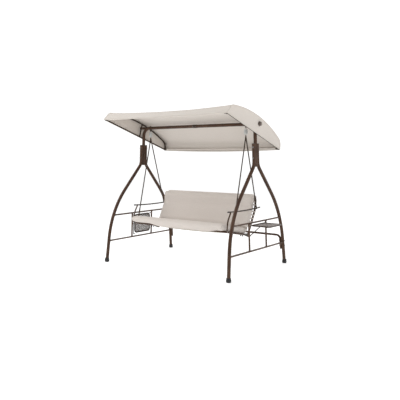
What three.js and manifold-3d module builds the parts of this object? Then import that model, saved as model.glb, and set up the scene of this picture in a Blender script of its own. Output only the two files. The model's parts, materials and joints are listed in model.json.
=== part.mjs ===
// Canopy swing bench: a tubular steel stand with bowed legs, a tilting fabric canopy, a
// spring-hung bench with a reclining cushioned back, and a folding side table at each end.
// Millimetres. +X runs across the bench to the sitter's left as seen from the front,
// +Y points to the back and +Z up. The stand is first drawn about its own middle, and the
// finished group is then moved so that its origin is the middle of its bounding box, on the floor.

import * as THREE from 'three';
import { mergeVertices } from 'three/addons/utils/BufferGeometryUtils.js';
import Module from 'manifold-3d';

const wasm = await Module();
wasm.setup();

// ---------------------------------------------------------------- driving dimensions

const GAP = 0.3;                  // left between pieces that touch
const RUN = 0.3;                  // radial clearance of a pin that turns in a hole

// Stand
const FOOT_X = 874;               // from the middle to each side frame, at the floor
const FOOT_Y = 600;               // from the middle to each foot
const LEAN = THREE.MathUtils.degToRad(2.4);   // side frames lean in towards the top
const LEG_D = 38;
const LEG_WALL = 1.5;
const LEG_TOP = 1396;
const LEG_SPREAD_Z = 1165;        // height at which the legs part
const LEG_SPREAD_R = 120;
const LEG_SLOPE = THREE.MathUtils.degToRad(42);   // upper slope, from the vertical
const LEG_KNEE_R = 1000;
const LEG_SHIN = THREE.MathUtils.degToRad(6);     // lower slope, from the vertical
const LEG_END_Z = 12;             // underside of the tube inside its foot
const FOOT_WALL = 8;              // of the foot's collar, round the leg
const FOOT_R = LEG_D / 2 + FOOT_WALL;
const FOOT_H = 46;
const PLUG_H = 7;
const PLUG_DEPTH = 12;
const PLUG_LIP = 0.5;             // beyond the tube's side
const PLUG_RIM_H = 3;
const PLUG_TOP_INSET = 5;
const POST_BOTTOM = 1150;
const BEAM_Z = 1610;
const BEAM_BEND_R = 100;
const BEAM_SLEEVE_L = 60;
const BEAM_SLEEVE_WALL = 1.6;
const RAIL_D = 18;
const RAIL_WALL = 1.5;
const UPPER_RAIL_Z = 555;
const LOWER_RAIL_Z = 252;
const UPRIGHT_D = 20;
const UPRIGHT_WALL = 1.5;
const UPRIGHT_Y = 180;
const STRETCHER_D = 25;
const STRETCHER_WALL = 1.5;
const STRETCHER_Z = 335;
const STRETCHER_END_Z = 175;
const STRETCHER_BEND_R = 50;
const BOLT_D = 8;
const BOLT_HEIGHTS = [1242, 1361];
const BOLT_HEAD_R = 7.5;
const BOLT_HEAD_H = 5;

// Canopy, drawn in its own frame: u runs back along the chord, n up from it, pivot at 0,0
const CANOPY_TILT = THREE.MathUtils.degToRad(17.65);
const CANOPY_CHORD_N = -118;      // chord below the pivot
const CANOPY_FRONT_U = -621;
const CANOPY_REAR_U = 533;
const CANOPY_ARCH_R = 1727;
const CANOPY_CROWN = { u: -44, n: 72 };
const FRONT_VALANCE = { du: 56, dn: 106 };   // slope of the front strip
const REAR_VALANCE = { du: 16, dn: 100 };    // slope of the rear strip
const CANOPY_FRONT_ROUND = 34;
const CANOPY_REAR_ROUND = 62;
const COVER_T = 4;
const CANOPY_TUBE_D = 14;
const LEG_ROOM = 9.7;             // between the legs' tops and the canopy's side frames
const COVER_HALF_X = sideX(LEG_TOP) + LEG_D / 2 + LEG_ROOM + CANOPY_TUBE_D + GAP + COVER_T;
const RIB_ROOM = 6;               // between the side frames and the cloth
const CANOPY_BAR_D = 16;
const CANOPY_BAR_WALL = 1.2;
const FRAME_LIFT = 1;             // side frames' lower tubes above the hem
const BAR_LIFT = 2;               // front and rear bars above the hem
const HUB_R = 17;
const STUB_STEP = 8;              // the stub is this much thinner than the leg tube
const STUB_D = LEG_D - STUB_STEP;
const STUB_START = 64.5;          // inward of the side frame, so inside the crossbeam's bend
const STUB_INNER_X = sideX(BEAM_Z) - STUB_START;
const KNOB_R = 23;
const KNOB_H = 24;
const KNOB_SHAFT_D = 9;
const KNOB_SHAFT_DEPTH = 34;      // how far the shaft goes into the stub

// Hanging gear
const HANG_INSET = 12.5;          // from the end of the crossbeam's straight run
const HANG_X = sideX(BEAM_Z) - BEAM_BEND_R - HANG_INSET;   // plane of hook, spring and hanger rods
const HOOK_WIRE = 7;
const HOOK_DROP = LEG_D / 2 + 22; // beam centre to the lowest point of the hook's centreline
const HOOK_ROOM = 0.8;            // round the crossbeam
const HOOK_LAP = 0.12;            // radians by which the two halves pass each other at the top
const HOOK_LEAVES = THREE.MathUtils.degToRad(-20);   // where the wire leaves the crossbeam
const SPRING_H = 74;
const SPRING_R = 17.5;
const SPRING_WIRE = 5;
const SPRING_TURNS = 6;
const ROD_D = 12;
const ROD_APEX_R = 9;
const FRONT_ROD_Y = -252;
const REAR_ROD_Y = 245;
const ROD_BELOW_ARM = 5;          // the rear rod's end, below the armrest's centreline

// Seat
const SEAT_TUBE_D = 24;
const SEAT_TUBE_WALL = 1.5;
const SEAT_FRONT = { y: -350, z: 466 };
const SEAT_REAR = { y: 78, z: 383.7 };
const SEAT_CORNER_R = 60;
const SEAT_BAR_D = 16;
const SEAT_BAR_BACK = 40;         // rear bar ahead of the side tubes' ends
const SLING_T = 3;
const SLING_ROOM = 20;            // between the sling's edge and the tube round it
const HINGE = { y: 118, z: 376 };
const HINGE_PIN_D = 8;
const BRACKET_T = 4;
const BRACKET_LENGTH = 62;        // of the plate's lap along the seat tube
const BRACKET_HALF_H = 12;        // at its front end
const BRACKET_BACK = 16;          // behind the hinge
const BACK_KNEE = { y: 270, z: 650 };
const BACK_TOP = { y: 290, z: 808 };
const BACK_KNEE_R = 150;
const BACK_CORNER_R = 60;
const ARM_D = 18;
const ARM_ROOM = 0.7;             // between an armrest and the hanger rods
const ARM_FRONT_Y = -330;
const ARM_REAR_Y = 350;
const ARM_Z = 664;
const ARM_RISE = 10;              // the ends stand this much higher than the middle
const ARM_SUPPORT_D = 16;
const ARM_SUPPORT_TOP_Y = -270;
const ARM_SUPPORT_FOOT_Y = -338;
const ARM_SUPPORT_BOW = 24;       // its middle stands this far forward of its ends
const ARM_SUPPORT_R = 160;
const ARM_SUPPORT_LIFT = 6;       // clear of the seat tube before it reaches over it
const SEAT_SIDE = SEAT_TUBE_D / 2 + GAP;   // from a side tube's centre to what stands beside it
const ARM_X = HANG_X - ROD_D / 2 - ARM_ROOM - ARM_D / 2;
const SEAT_HALF_X = ARM_X - ARM_SUPPORT_D / 2 - SEAT_SIDE;   // centre of the side tubes

// Cushions, as outlines in the side view. The seat's is given as a depth and a height above the
// side tubes' tops; the back's as a length up the back tubes from their bend, negative down the
// lower part, and a distance ahead of their faces.
const CUSHION_HALF_X = SEAT_HALF_X + 5;
const SEAT_CUSHION = [
  { y: -374, up: 3.2 }, { y: -404, up: 6 }, { y: -414, up: 28 }, { y: -408, up: 48 },
  { y: -386, up: 62 }, { y: -350, up: 67 }, { y: 128, up: 55 }, { y: 96, up: 4.5 },
];
const BACK_CUSHION = [
  { along: -264, ahead: 61.8 }, { along: -240, ahead: 11.3 }, { along: -4.5, ahead: 11.3 },
  { along: 140, ahead: 11.3 }, { along: 168, ahead: 16 }, { along: 176, ahead: 36 },
  { along: 162, ahead: 55 }, { along: 120, ahead: 61.8 }, { along: -14.2, ahead: 61.8 },
];

// Side tables
const TABLE_BELOW_RAIL = 30;
const TABLE_HINGE_Z = UPPER_RAIL_Z - TABLE_BELOW_RAIL;
const TABLE_LENGTH = 232;
const TABLE_TUBE_D = 14;
const TABLE_ROOM = 26;            // between the uprights and the table's sides
const TABLE_HALF_Y = UPRIGHT_Y - UPRIGHT_D / 2 - TABLE_ROOM - TABLE_TUBE_D / 2;
const TABLE_CORNER_R = 34;
const TABLE_PANEL_T = 2;
const TABLE_PIN_D = 8;
const TABLE_PIN_IN = 7;           // how far a pin reaches into the upright
const STRUT_DROP = 105;           // strut pivot below the table hinge
const STRUT_D = 8;
const STRUT_Y = -(UPRIGHT_Y - UPRIGHT_D / 2 - 15);   // in the room beside the table
const STRUT_REACH = 105;          // where the strut meets the table, out from the hinge

// Facets
const SIDES_LARGE = 12;
const SIDES_SMALL = 8;
const SIDES_WIRE = 8;
const SIDES_HOLE = 12;

// ---------------------------------------------------------------- materials

function paint(color, roughness, metalness) {
  return new THREE.MeshStandardMaterial({ color, roughness, metalness });
}

const BRONZE = paint(0x6b5546, 0.42, 0.6);
const DARK_BRONZE = paint(0x3c2a20, 0.45, 0.6);
const BLACK_PLASTIC = paint(0x1d1d1f, 0.55, 0.0);
const ZINC = paint(0xc9cdcb, 0.3, 0.9);
const CANVAS = paint(0xd0cabf, 0.95, 0.0);
const CUSHION_CLOTH = paint(0xddd6cf, 0.95, 0.0);
const SLING_CLOTH = paint(0xb8afa5, 0.95, 0.0);
const MESH_GREY = paint(0x6f6862, 0.5, 0.6);
const KNOB_BROWN = paint(0x5a4e48, 0.6, 0.0);

// ---------------------------------------------------------------- shape helpers

/** A path through given stations, so that a long straight costs one step. */
class StationPath extends THREE.Curve {
  constructor(points) {
    super();
    this.points = points;
    this.steps = points.length - 1;
    const ways = [];
    for (let i = 0; i < this.steps; i++) {
      ways.push(points[i + 1].clone().sub(points[i]).normalize());
    }
    this.tangents = points.map((point, i) => {
      const before = ways[Math.max(i - 1, 0)];
      const after = ways[Math.min(i, this.steps - 1)];
      return before.clone().add(after).normalize();
    });
  }
  getPoint(t, target = new THREE.Vector3()) {
    const place = Math.min(Math.max(t, 0), 1) * this.steps;
    const low = Math.min(Math.floor(place + 1e-9), this.steps - 1);
    return target.lerpVectors(this.points[low], this.points[low + 1], place - low);
  }
  getPointAt(t, target) {
    return this.getPoint(t, target);
  }
  getSpacedPoints(count) {
    return this.getPoints(count);
  }
  getTangentAt(t, target = new THREE.Vector3()) {
    return target.copy(this.tangents[Math.round(t * this.steps)]);
  }
}

/** The stations of a polyline whose inner corners are rounded to each one's radius. */
function rounded(corners) {
  const stations = [];
  corners.forEach((corner, i) => {
    if (i === 0 || i === corners.length - 1 || !corner.r) {
      stations.push(corner.at.clone());
      return;
    }
    const back = corners[i - 1].at.clone().sub(corner.at).normalize();
    const ahead = corners[i + 1].at.clone().sub(corner.at).normalize();
    const half = back.angleTo(ahead) / 2;
    const turn = Math.PI - 2 * half;
    const centre = back.clone().add(ahead).normalize()
      .multiplyScalar(corner.r / Math.sin(half)).add(corner.at);
    const start = back.clone().multiplyScalar(corner.r / Math.tan(half)).add(corner.at).sub(centre);
    const axis = ahead.clone().cross(back).normalize();
    const pieces = corner.pieces ?? Math.max(2, Math.ceil(turn / 0.35));
    for (let k = 0; k <= pieces; k++) {
      stations.push(start.clone().applyAxisAngle(axis, turn * k / pieces).add(centre));
    }
  });
  return stations;
}

function circlePoints(radius, sides) {
  const points = [];
  for (let k = 0; k < sides; k++) {
    const angle = 2 * Math.PI * (k + 0.5) / sides;
    points.push(new THREE.Vector2(radius * Math.cos(angle), radius * Math.sin(angle)));
  }
  return points;
}

/** A round tube along stations: hollow and open-ended when it has a wall. */
function tube(stations, diameter, wall = 0, sides = SIDES_SMALL) {
  const shape = new THREE.Shape(circlePoints(diameter / 2, sides));
  if (wall > 0) {
    shape.holes.push(new THREE.Path(circlePoints(diameter / 2 - wall, sides)));
  }
  const path = new StationPath(stations);
  return new THREE.ExtrudeGeometry(shape, { steps: path.steps, extrudePath: path });
}

/** A solid of revolution about a line from a point along a direction; profile is [radius, along]. */
function turned(profile, at, along, sides = SIDES_LARGE) {
  const geometry = new THREE.LatheGeometry(profile.map(([r, h]) => new THREE.Vector2(r, h)), sides);
  const turn = new THREE.Quaternion().setFromUnitVectors(new THREE.Vector3(0, 1, 0), along);
  return geometry.applyQuaternion(turn).translate(at.x, at.y, at.z);
}

/** A plain round pin from one point to another. */
function pin(from, to, diameter, sides = SIDES_SMALL) {
  const length = from.distanceTo(to);
  const along = to.clone().sub(from).normalize();
  return turned([[0, 0], [diameter / 2, 0], [diameter / 2, length], [0, length]], from, along, sides);
}

/** The tool for a hole in which a pin turns: its flats stand clear of the pin's corners. */
function hole(from, to, pinDiameter) {
  const radius = (pinDiameter / 2 + RUN) / Math.cos(Math.PI / SIDES_HOLE);
  return pin(from, to, 2 * radius, SIDES_HOLE);
}

/** An outline in the Y-Z plane, given thickness along X from x0 to x1. */
function plate(outline, x0, x1) {
  const shape = new THREE.Shape(outline.map(({ y, z }) => new THREE.Vector2(y, z)));
  const geometry = new THREE.ExtrudeGeometry(shape, { depth: x1 - x0, bevelEnabled: false });
  const axes = new THREE.Matrix4().makeBasis(
    new THREE.Vector3(0, 1, 0), new THREE.Vector3(0, 0, 1), new THREE.Vector3(1, 0, 0));
  return geometry.applyMatrix4(axes).translate(x0, 0, 0);
}

function solid(geometry) {
  const bare = geometry.clone();
  bare.deleteAttribute('normal');
  bare.deleteAttribute('uv');
  const merged = mergeVertices(bare, 1e-3);
  return new wasm.Manifold(new wasm.Mesh({
    numProp: 3,
    vertProperties: Float32Array.from(merged.attributes.position.array),
    triVerts: Uint32Array.from(merged.index.array),
  }));
}

function surface(body) {
  const mesh = body.getMesh();
  const geometry = new THREE.BufferGeometry();
  geometry.setAttribute('position', new THREE.BufferAttribute(mesh.vertProperties, 3));
  geometry.setIndex(new THREE.BufferAttribute(mesh.triVerts, 1));
  geometry.computeVertexNormals();
  return geometry;
}

function joined(...geometries) {
  return surface(geometries.map(solid).reduce((sum, next) => sum.add(next)));
}

function cut(geometry, ...tools) {
  return surface(tools.map(solid).reduce((left, tool) => left.subtract(tool), solid(geometry)));
}

function at(x, y, z) {
  return new THREE.Vector3(x, y, z);
}

const ACROSS = at(1, 0, 0);
const BACKWARD = at(0, 1, 0);
const UP = at(0, 0, 1);

// ---------------------------------------------------------------- the assembly

const bench = new THREE.Group();
const SIDES = [{ word: 'left', sign: -1 }, { word: 'right', sign: 1 }];
const ENDS = [{ word: 'front', sign: -1 }, { word: 'rear', sign: 1 }];

function add(name, geometry, material, parent = bench) {
  const mesh = new THREE.Mesh(geometry, material);
  mesh.name = name;
  parent.add(mesh);
  return mesh;
}

/** How far out a side frame stands at a height above the floor. */
function sideX(height) {
  return FOOT_X - Math.tan(LEAN) * height;
}

/** Carries a side frame's own Y-Z drawing to its place in the stand. */
function sidePlace(sign) {
  return new THREE.Matrix4().makeTranslation(sign * FOOT_X, 0, 0)
    .multiply(new THREE.Matrix4().makeRotationY(-sign * LEAN));
}

/** A point on a side frame's middle line, at a length up that frame. */
function sidePoint(sign, length) {
  return at(0, 0, length).applyMatrix4(sidePlace(sign));
}

// ---------------------------------------------------------------- stand

const LEG_TOP_Y = LEG_D + GAP;    // the legs stand against the corner tube between them

/** A leg's centreline on one side of its frame, with its lower end let down by an extra length. */
function legStations(sign, extra = 0) {
  const foot = { y: FOOT_Y, z: LEG_END_Z };
  const shin = Math.tan(LEG_SHIN);
  const thigh = Math.tan(LEG_SLOPE);
  // knee: where the upper slope from the parting height meets the lower slope from the foot
  const rise = (FOOT_Y - LEG_TOP_Y - thigh * (LEG_SPREAD_Z - foot.z)) / (shin - thigh);
  const knee = { y: foot.y - shin * rise, z: foot.z + rise };
  return rounded([
    { at: at(0, sign * LEG_TOP_Y, LEG_TOP) },
    { at: at(0, sign * LEG_TOP_Y, LEG_SPREAD_Z), r: LEG_SPREAD_R, pieces: 3 },
    { at: at(0, sign * knee.y, knee.z), r: LEG_KNEE_R, pieces: 6 },
    { at: at(0, sign * (foot.y + shin * extra), foot.z - extra) },
  ]);
}

/** How far a leg's centreline stands from the middle at a height. */
function legY(height) {
  const line = legStations(1);
  const below = line.findIndex((point) => point.z <= height);
  const share = (height - line[below].z) / (line[below - 1].z - line[below].z);
  return THREE.MathUtils.lerp(line[below].y, line[below - 1].y, share);
}

function frameBoltHole(height) {
  const reach = LEG_TOP_Y + LEG_D;
  return hole(at(0, -reach, height), at(0, reach, height), BOLT_D);
}

function legs(side, frame) {
  for (const end of ENDS) {
    const stations = legStations(end.sign);
    const holes = BOLT_HEIGHTS.map(frameBoltHole);
    const leg = cut(tube(stations, LEG_D, LEG_WALL, SIDES_LARGE), ...holes);
    add(`leg_${end.word}_${side.word}`, leg, BRONZE, frame);
    const insert = (LEG_D / 2 - LEG_WALL) * Math.cos(Math.PI / SIDES_LARGE) - GAP;
    const rim = LEG_D / 2 + PLUG_LIP;
    const profile = [[0, -PLUG_DEPTH], [insert, -PLUG_DEPTH], [insert, GAP], [rim, GAP], [rim, PLUG_RIM_H],
      [LEG_D / 2 - PLUG_TOP_INSET, PLUG_H], [0, PLUG_H]];
    const plug = turned(profile, at(0, end.sign * LEG_TOP_Y, LEG_TOP), UP);
    add(`leg_plug_${end.word}_${side.word}`, plug, BLACK_PLASTIC, frame);
  }
}

function feet(side) {
  for (const end of ENDS) {
    const profile = [[0, 0], [FOOT_R - 9, 0], [FOOT_R - 3, 4], [FOOT_R, 14], [FOOT_R, 25],
      [FOOT_R - 3, 37], [FOOT_R - 5.5, FOOT_H], [0, FOOT_H]];
    const ball = turned(profile, at(side.sign * sideX(LEG_END_Z), end.sign * FOOT_Y, 0), UP, 16);
    const room = tube(legStations(end.sign, GAP), LEG_D + 2 * GAP, 0, SIDES_LARGE);
    const socket = room.applyMatrix4(sidePlace(side.sign));
    add(`foot_${end.word}_${side.word}`, cut(ball, socket), BLACK_PLASTIC);
  }
}

function ladder(side, frame) {
  const legBodies = ENDS.map((end) => tube(legStations(end.sign), LEG_D + 2 * GAP, 0, SIDES_LARGE));
  for (const [word, height] of [['upper', UPPER_RAIL_Z], ['lower', LOWER_RAIL_Z]]) {
    const reach = legY(height);
    const run = tube([at(0, -reach, height), at(0, reach, height)], RAIL_D, RAIL_WALL);
    add(`${word}_rail_${side.word}`, cut(run, ...legBodies), BRONZE, frame);
  }
  const railBodies = [UPPER_RAIL_Z, LOWER_RAIL_Z].map((height) =>
    tube([at(0, -FOOT_Y, height), at(0, FOOT_Y, height)], RAIL_D + 2 * GAP));
  for (const end of ENDS) {
    const y = end.sign * UPRIGHT_Y;
    const seatIn = RAIL_D / 4;
    const stations = [at(0, y, LOWER_RAIL_Z + seatIn), at(0, y, UPPER_RAIL_Z - seatIn)];
    const inner = end.sign * (UPRIGHT_Y - UPRIGHT_D);
    const hingeHole = hole(at(0, y, TABLE_HINGE_Z), at(0, inner, TABLE_HINGE_Z), TABLE_PIN_D);
    const tools = [...railBodies, hingeHole];
    if (end.sign === Math.sign(STRUT_Y)) {
      const height = TABLE_HINGE_Z - STRUT_DROP;
      tools.push(hole(at(0, y, height), at(0, inner, height), TABLE_PIN_D));
    }
    const upright = cut(tube(stations, UPRIGHT_D, UPRIGHT_WALL), ...tools);
    add(`upright_${end.word}_${side.word}`, upright, BRONZE, frame);
  }
}

function frameBolts(side, frame) {
  const reach = LEG_TOP_Y + LEG_D / 2 + GAP;
  const names = ['lower', 'upper'];
  BOLT_HEIGHTS.forEach((height, i) => {
    const length = 2 * reach;
    const profile = [[0, -BOLT_HEAD_H], [BOLT_HEAD_R, -BOLT_HEAD_H], [BOLT_HEAD_R, 0], [BOLT_D / 2, 0],
      [BOLT_D / 2, length], [BOLT_HEAD_R, length], [BOLT_HEAD_R, length + BOLT_HEAD_H],
      [0, length + BOLT_HEAD_H]];
    const bolt = turned(profile, at(0, -reach, height), BACKWARD, SIDES_WIRE);
    add(`frame_bolt_${names[i]}_${side.word}`, bolt, DARK_BRONZE, frame);
  });
}

/** The tube that rises between the legs and bends inward to become half of the crossbeam. */
function cornerStations(sign) {
  return rounded([
    { at: at(sign * sideX(POST_BOTTOM), 0, POST_BOTTOM) },
    { at: at(sign * sideX(BEAM_Z), 0, BEAM_Z), r: BEAM_BEND_R, pieces: 6 },
    { at: at(sign * GAP, 0, BEAM_Z) },
  ]);
}

function crossbeam() {
  for (const side of SIDES) {
    const holes = BOLT_HEIGHTS.map((height) => frameBoltHole(height).applyMatrix4(sidePlace(side.sign)));
    const corner = cut(tube(cornerStations(side.sign), LEG_D, LEG_WALL, SIDES_LARGE), ...holes);
    add(`corner_tube_${side.word}`, corner, BRONZE);
    const outer = side.sign * (COVER_HALF_X - COVER_T - CANOPY_TUBE_D - 2 * GAP);
    const stub = pin(at(side.sign * STUB_INNER_X, 0, BEAM_Z), at(outer, 0, BEAM_Z), STUB_D, SIDES_LARGE);
    const room = tube(cornerStations(side.sign), LEG_D + 2 * GAP, 0, SIDES_LARGE);
    const boreIn = outer - side.sign * (KNOB_SHAFT_DEPTH + GAP);
    const bore = hole(at(boreIn, 0, BEAM_Z), at(outer + side.sign, 0, BEAM_Z), KNOB_SHAFT_D);
    add(`canopy_stub_${side.word}`, cut(stub, room, bore), BRONZE);
  }
  const half = BEAM_SLEEVE_L / 2;
  const sleeve = tube([at(-half, 0, BEAM_Z), at(half, 0, BEAM_Z)],
    LEG_D + 2 * (BEAM_SLEEVE_WALL + GAP), BEAM_SLEEVE_WALL, SIDES_LARGE);
  add('beam_sleeve', sleeve, DARK_BRONZE);
}

function rearStretcher() {
  const inset = LEG_D / 2 + STRETCHER_D / 2 + GAP;
  const point = (sign, height) => at(sign * (sideX(height) - inset), legY(height), height);
  const stations = rounded([
    { at: point(-1, STRETCHER_END_Z) },
    { at: point(-1, STRETCHER_Z), r: STRETCHER_BEND_R, pieces: 4 },
    { at: point(1, STRETCHER_Z), r: STRETCHER_BEND_R, pieces: 4 },
    { at: point(1, STRETCHER_END_Z) },
  ]);
  add('rear_stretcher', tube(stations, STRETCHER_D, STRETCHER_WALL), BRONZE);
}

// ---------------------------------------------------------------- canopy

/** Where a line from a point at a slope meets the canopy's arch at a radius, on one side. */
function onArch(start, way, radius, centre) {
  const du = start.u - centre.u;
  const dn = start.n - centre.n;
  const length = Math.hypot(way.du, way.dn);
  const u = way.du / length;
  const n = way.dn / length;
  const b = du * u + dn * n;
  const t = -b + Math.sqrt(b * b - (du * du + dn * dn - radius * radius));
  return { u: start.u + t * u, n: start.n + t * n };
}

/** The canopy's side outline, front hem to rear hem over the arch, set in by a distance. */
function canopyOutline(inset, drop = 0) {
  const centre = { u: CANOPY_CROWN.u, n: CANOPY_CROWN.n - CANOPY_ARCH_R };
  const radius = CANOPY_ARCH_R - inset;
  const front = { u: CANOPY_FRONT_U + inset, n: CANOPY_CHORD_N };
  const rear = { u: CANOPY_REAR_U - inset, n: CANOPY_CHORD_N };
  const frontTop = onArch(front, FRONT_VALANCE, radius, centre);
  const rearTop = onArch(rear, { du: -REAR_VALANCE.du, dn: REAR_VALANCE.dn }, radius, centre);
  const slide = (from, to, length) => {
    const whole = Math.hypot(to.u - from.u, to.n - from.n);
    return { u: from.u + (to.u - from.u) * length / whole, n: from.n + (to.n - from.n) * length / whole };
  };
  const angleOf = (point) => Math.atan2(point.n - centre.n, point.u - centre.u);
  const onCircle = (angle) => ({
    u: centre.u + radius * Math.cos(angle), n: centre.n + radius * Math.sin(angle),
  });
  const outline = [];
  if (drop > 0) outline.push({ u: front.u, n: front.n - drop });
  outline.push(front);
  const round = (from, corner, to, pieces) => {
    for (let k = 0; k <= pieces; k++) {
      const t = k / pieces;
      const a = (1 - t) * (1 - t);
      const b = 2 * t * (1 - t);
      const c = t * t;
      outline.push({ u: a * from.u + b * corner.u + c * to.u, n: a * from.n + b * corner.n + c * to.n });
    }
  };
  const frontAngle = angleOf(frontTop) - CANOPY_FRONT_ROUND / radius;
  const rearAngle = angleOf(rearTop) + CANOPY_REAR_ROUND / radius;
  round(slide(frontTop, front, CANOPY_FRONT_ROUND), frontTop, onCircle(frontAngle), 3);
  const archPieces = 9;
  for (let k = 1; k < archPieces; k++) {
    outline.push(onCircle(frontAngle + (rearAngle - frontAngle) * k / archPieces));
  }
  round(onCircle(rearAngle), rearTop, slide(rearTop, rear, CANOPY_REAR_ROUND), 4);
  outline.push(rear);
  if (drop > 0) outline.push({ u: rear.u, n: rear.n - drop });
  return outline.map(({ u, n }) => ({ y: u, z: n }));
}

const canopy = new THREE.Group();
canopy.position.set(0, 0, BEAM_Z);
canopy.rotation.x = -CANOPY_TILT;
bench.add(canopy);

const DFRAME_X = COVER_HALF_X - COVER_T - GAP - CANOPY_TUBE_D / 2;   // centre of the side frames

function canopySideFrame(side) {
  const x = side.sign * DFRAME_X;
  const inset = COVER_T + RIB_ROOM + CANOPY_TUBE_D / 2;
  const ribLine = canopyOutline(inset);
  const lift = CANOPY_TUBE_D / 2 + FRAME_LIFT;
  ribLine[0].z += lift;
  ribLine[ribLine.length - 1].z += lift;
  const rib = tube(ribLine.map(({ y, z }) => at(x, y, z)), CANOPY_TUBE_D, 0, SIDES_WIRE);
  const chordN = CANOPY_CHORD_N + lift;
  const chordEnds = [ribLine[0].y - 2, ribLine[ribLine.length - 1].y + 2];
  const chord = tube(chordEnds.map((y) => at(x, y, chordN)), CANOPY_TUBE_D, 0, SIDES_WIRE);
  const centreN = CANOPY_CROWN.n - CANOPY_ARCH_R;
  const strutTop = centreN + Math.sqrt((CANOPY_ARCH_R - inset) ** 2 - CANOPY_CROWN.u ** 2);
  const strut = tube([at(x, 0, chordN), at(x, 0, strutTop)], CANOPY_TUBE_D, 0, SIDES_WIRE);
  const half = CANOPY_TUBE_D / 2;
  const hub = pin(at(x - half, 0, 0), at(x + half, 0, 0), 2 * HUB_R, SIDES_LARGE);
  const bore = hole(at(x - 2 * half, 0, 0), at(x + 2 * half, 0, 0), KNOB_SHAFT_D);
  add(`canopy_side_frame_${side.word}`, cut(joined(rib, chord, strut, hub), bore), DARK_BRONZE, canopy);
}

function canopyBars() {
  const reach = DFRAME_X - CANOPY_TUBE_D / 2 - GAP;
  const lift = CANOPY_BAR_D / 2 + BAR_LIFT;
  const inset = COVER_T + CANOPY_BAR_D / 2 + RIB_ROOM;
  const spots = {
    front: CANOPY_FRONT_U + inset + lift * FRONT_VALANCE.du / FRONT_VALANCE.dn,
    rear: CANOPY_REAR_U - inset - lift * REAR_VALANCE.du / REAR_VALANCE.dn,
  };
  for (const [word, u] of Object.entries(spots)) {
    const n = CANOPY_CHORD_N + lift;
    const bar = tube([at(-reach, u, n), at(reach, u, n)], CANOPY_BAR_D, CANOPY_BAR_WALL);
    add(`canopy_${word}_bar`, bar, DARK_BRONZE, canopy);
  }
}

function canopyCover() {
  const outer = plate(canopyOutline(0), -COVER_HALF_X, COVER_HALF_X);
  const innerHalf = COVER_HALF_X - COVER_T;
  const inner = plate(canopyOutline(COVER_T, 20), -innerHalf, innerHalf);
  const holes = SIDES.map(({ sign }) => hole(at(sign * (innerHalf - 5), 0, 0),
    at(sign * (COVER_HALF_X + 5), 0, 0), KNOB_SHAFT_D));
  add('canopy_cover', cut(outer, inner, ...holes), CANVAS, canopy);
}

function canopyKnob(side) {
  const face = COVER_HALF_X + 1;
  const tip = COVER_HALF_X - COVER_T - CANOPY_TUBE_D - 2 * GAP - KNOB_SHAFT_DEPTH;
  const profile = [[0, tip - face], [KNOB_SHAFT_D / 2, tip - face], [KNOB_SHAFT_D / 2, 0],
    [KNOB_R - 3, 0], [KNOB_R, 4], [KNOB_R, KNOB_H - 7], [KNOB_R - 5, KNOB_H - 1], [0, KNOB_H]];
  const knob = turned(profile, at(side.sign * face, 0, 0), ACROSS.clone().multiplyScalar(side.sign), 16);
  add(`canopy_knob_${side.word}`, knob, KNOB_BROWN, canopy);
}

// ---------------------------------------------------------------- hanging gear

/** A teardrop ring of wire round the crossbeam, drawn as two halves that meet. */
function beamHook(side) {
  const x = side.sign * HANG_X;
  const radius = LEG_D / 2 + HOOK_ROOM + HOOK_WIRE / 2;
  const halves = [-1, 1].map((way) => {
    const stations = [];
    const highest = Math.PI / 2 + HOOK_LAP;
    const pieces = 6;
    for (let k = 0; k <= pieces; k++) {
      const angle = highest + (HOOK_LEAVES - highest) * k / pieces;
      stations.push(at(x, way * radius * Math.cos(angle), BEAM_Z + radius * Math.sin(angle)));
    }
    stations.push(at(x, way * HOOK_WIRE * 0.85, BEAM_Z - HOOK_DROP + HOOK_WIRE / 2));
    stations.push(at(x, -way * HOOK_WIRE * 0.4, BEAM_Z - HOOK_DROP));
    return tube(stations, HOOK_WIRE, 0, SIDES_WIRE);
  });
  add(`beam_hook_${side.word}`, joined(...halves), DARK_BRONZE);
}

const SPRING_TOP = BEAM_Z - HOOK_DROP - HOOK_WIRE / 2 - GAP;
const SPRING_BOTTOM = SPRING_TOP - SPRING_H;

function hangerSpring(side) {
  const stations = [];
  const perTurn = 8;
  const count = SPRING_TURNS * perTurn;
  const low = SPRING_BOTTOM + SPRING_WIRE / 2;
  const high = SPRING_TOP - SPRING_WIRE / 2;
  for (let k = 0; k <= count; k++) {
    const angle = 2 * Math.PI * k / perTurn;
    stations.push(at(side.sign * HANG_X + SPRING_R * Math.cos(angle), SPRING_R * Math.sin(angle),
      low + (high - low) * k / count));
  }
  add(`spring_${side.word}`, tube(stations, SPRING_WIRE, 0, 5), ZINC);
}

/** The inverted V of rod, with a lug at the front foot that reaches the seat tube. */
function hanger(side) {
  const x = side.sign * HANG_X;
  const apex = at(x, 0, SPRING_BOTTOM - GAP - ROD_APEX_R);
  const ballProfile = [[0, -ROD_APEX_R], [ROD_APEX_R * 0.8, -ROD_APEX_R * 0.6], [ROD_APEX_R, 0],
    [ROD_APEX_R * 0.8, ROD_APEX_R * 0.6], [0, ROD_APEX_R]];
  const ball = turned(ballProfile, apex, UP, SIDES_SMALL);
  const frontFoot = at(x, FRONT_ROD_Y, seatZ(FRONT_ROD_Y));
  const rearFoot = at(x, REAR_ROD_Y, armZ(REAR_ROD_Y) - ROD_BELOW_ARM);
  const rods = [frontFoot, rearFoot].map((foot) => tube([apex, foot], ROD_D));
  const seatFace = side.sign * (SEAT_HALF_X + SEAT_SIDE);
  const lugFrom = frontFoot.clone().add(at(0, -ROD_D * 0.1, ROD_D / 2));
  const lug = pin(lugFrom, at(seatFace, lugFrom.y, lugFrom.z), ROD_D * 0.9);
  add(`hanger_${side.word}`, joined(ball, ...rods, lug), DARK_BRONZE);
}

// ---------------------------------------------------------------- seat

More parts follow.
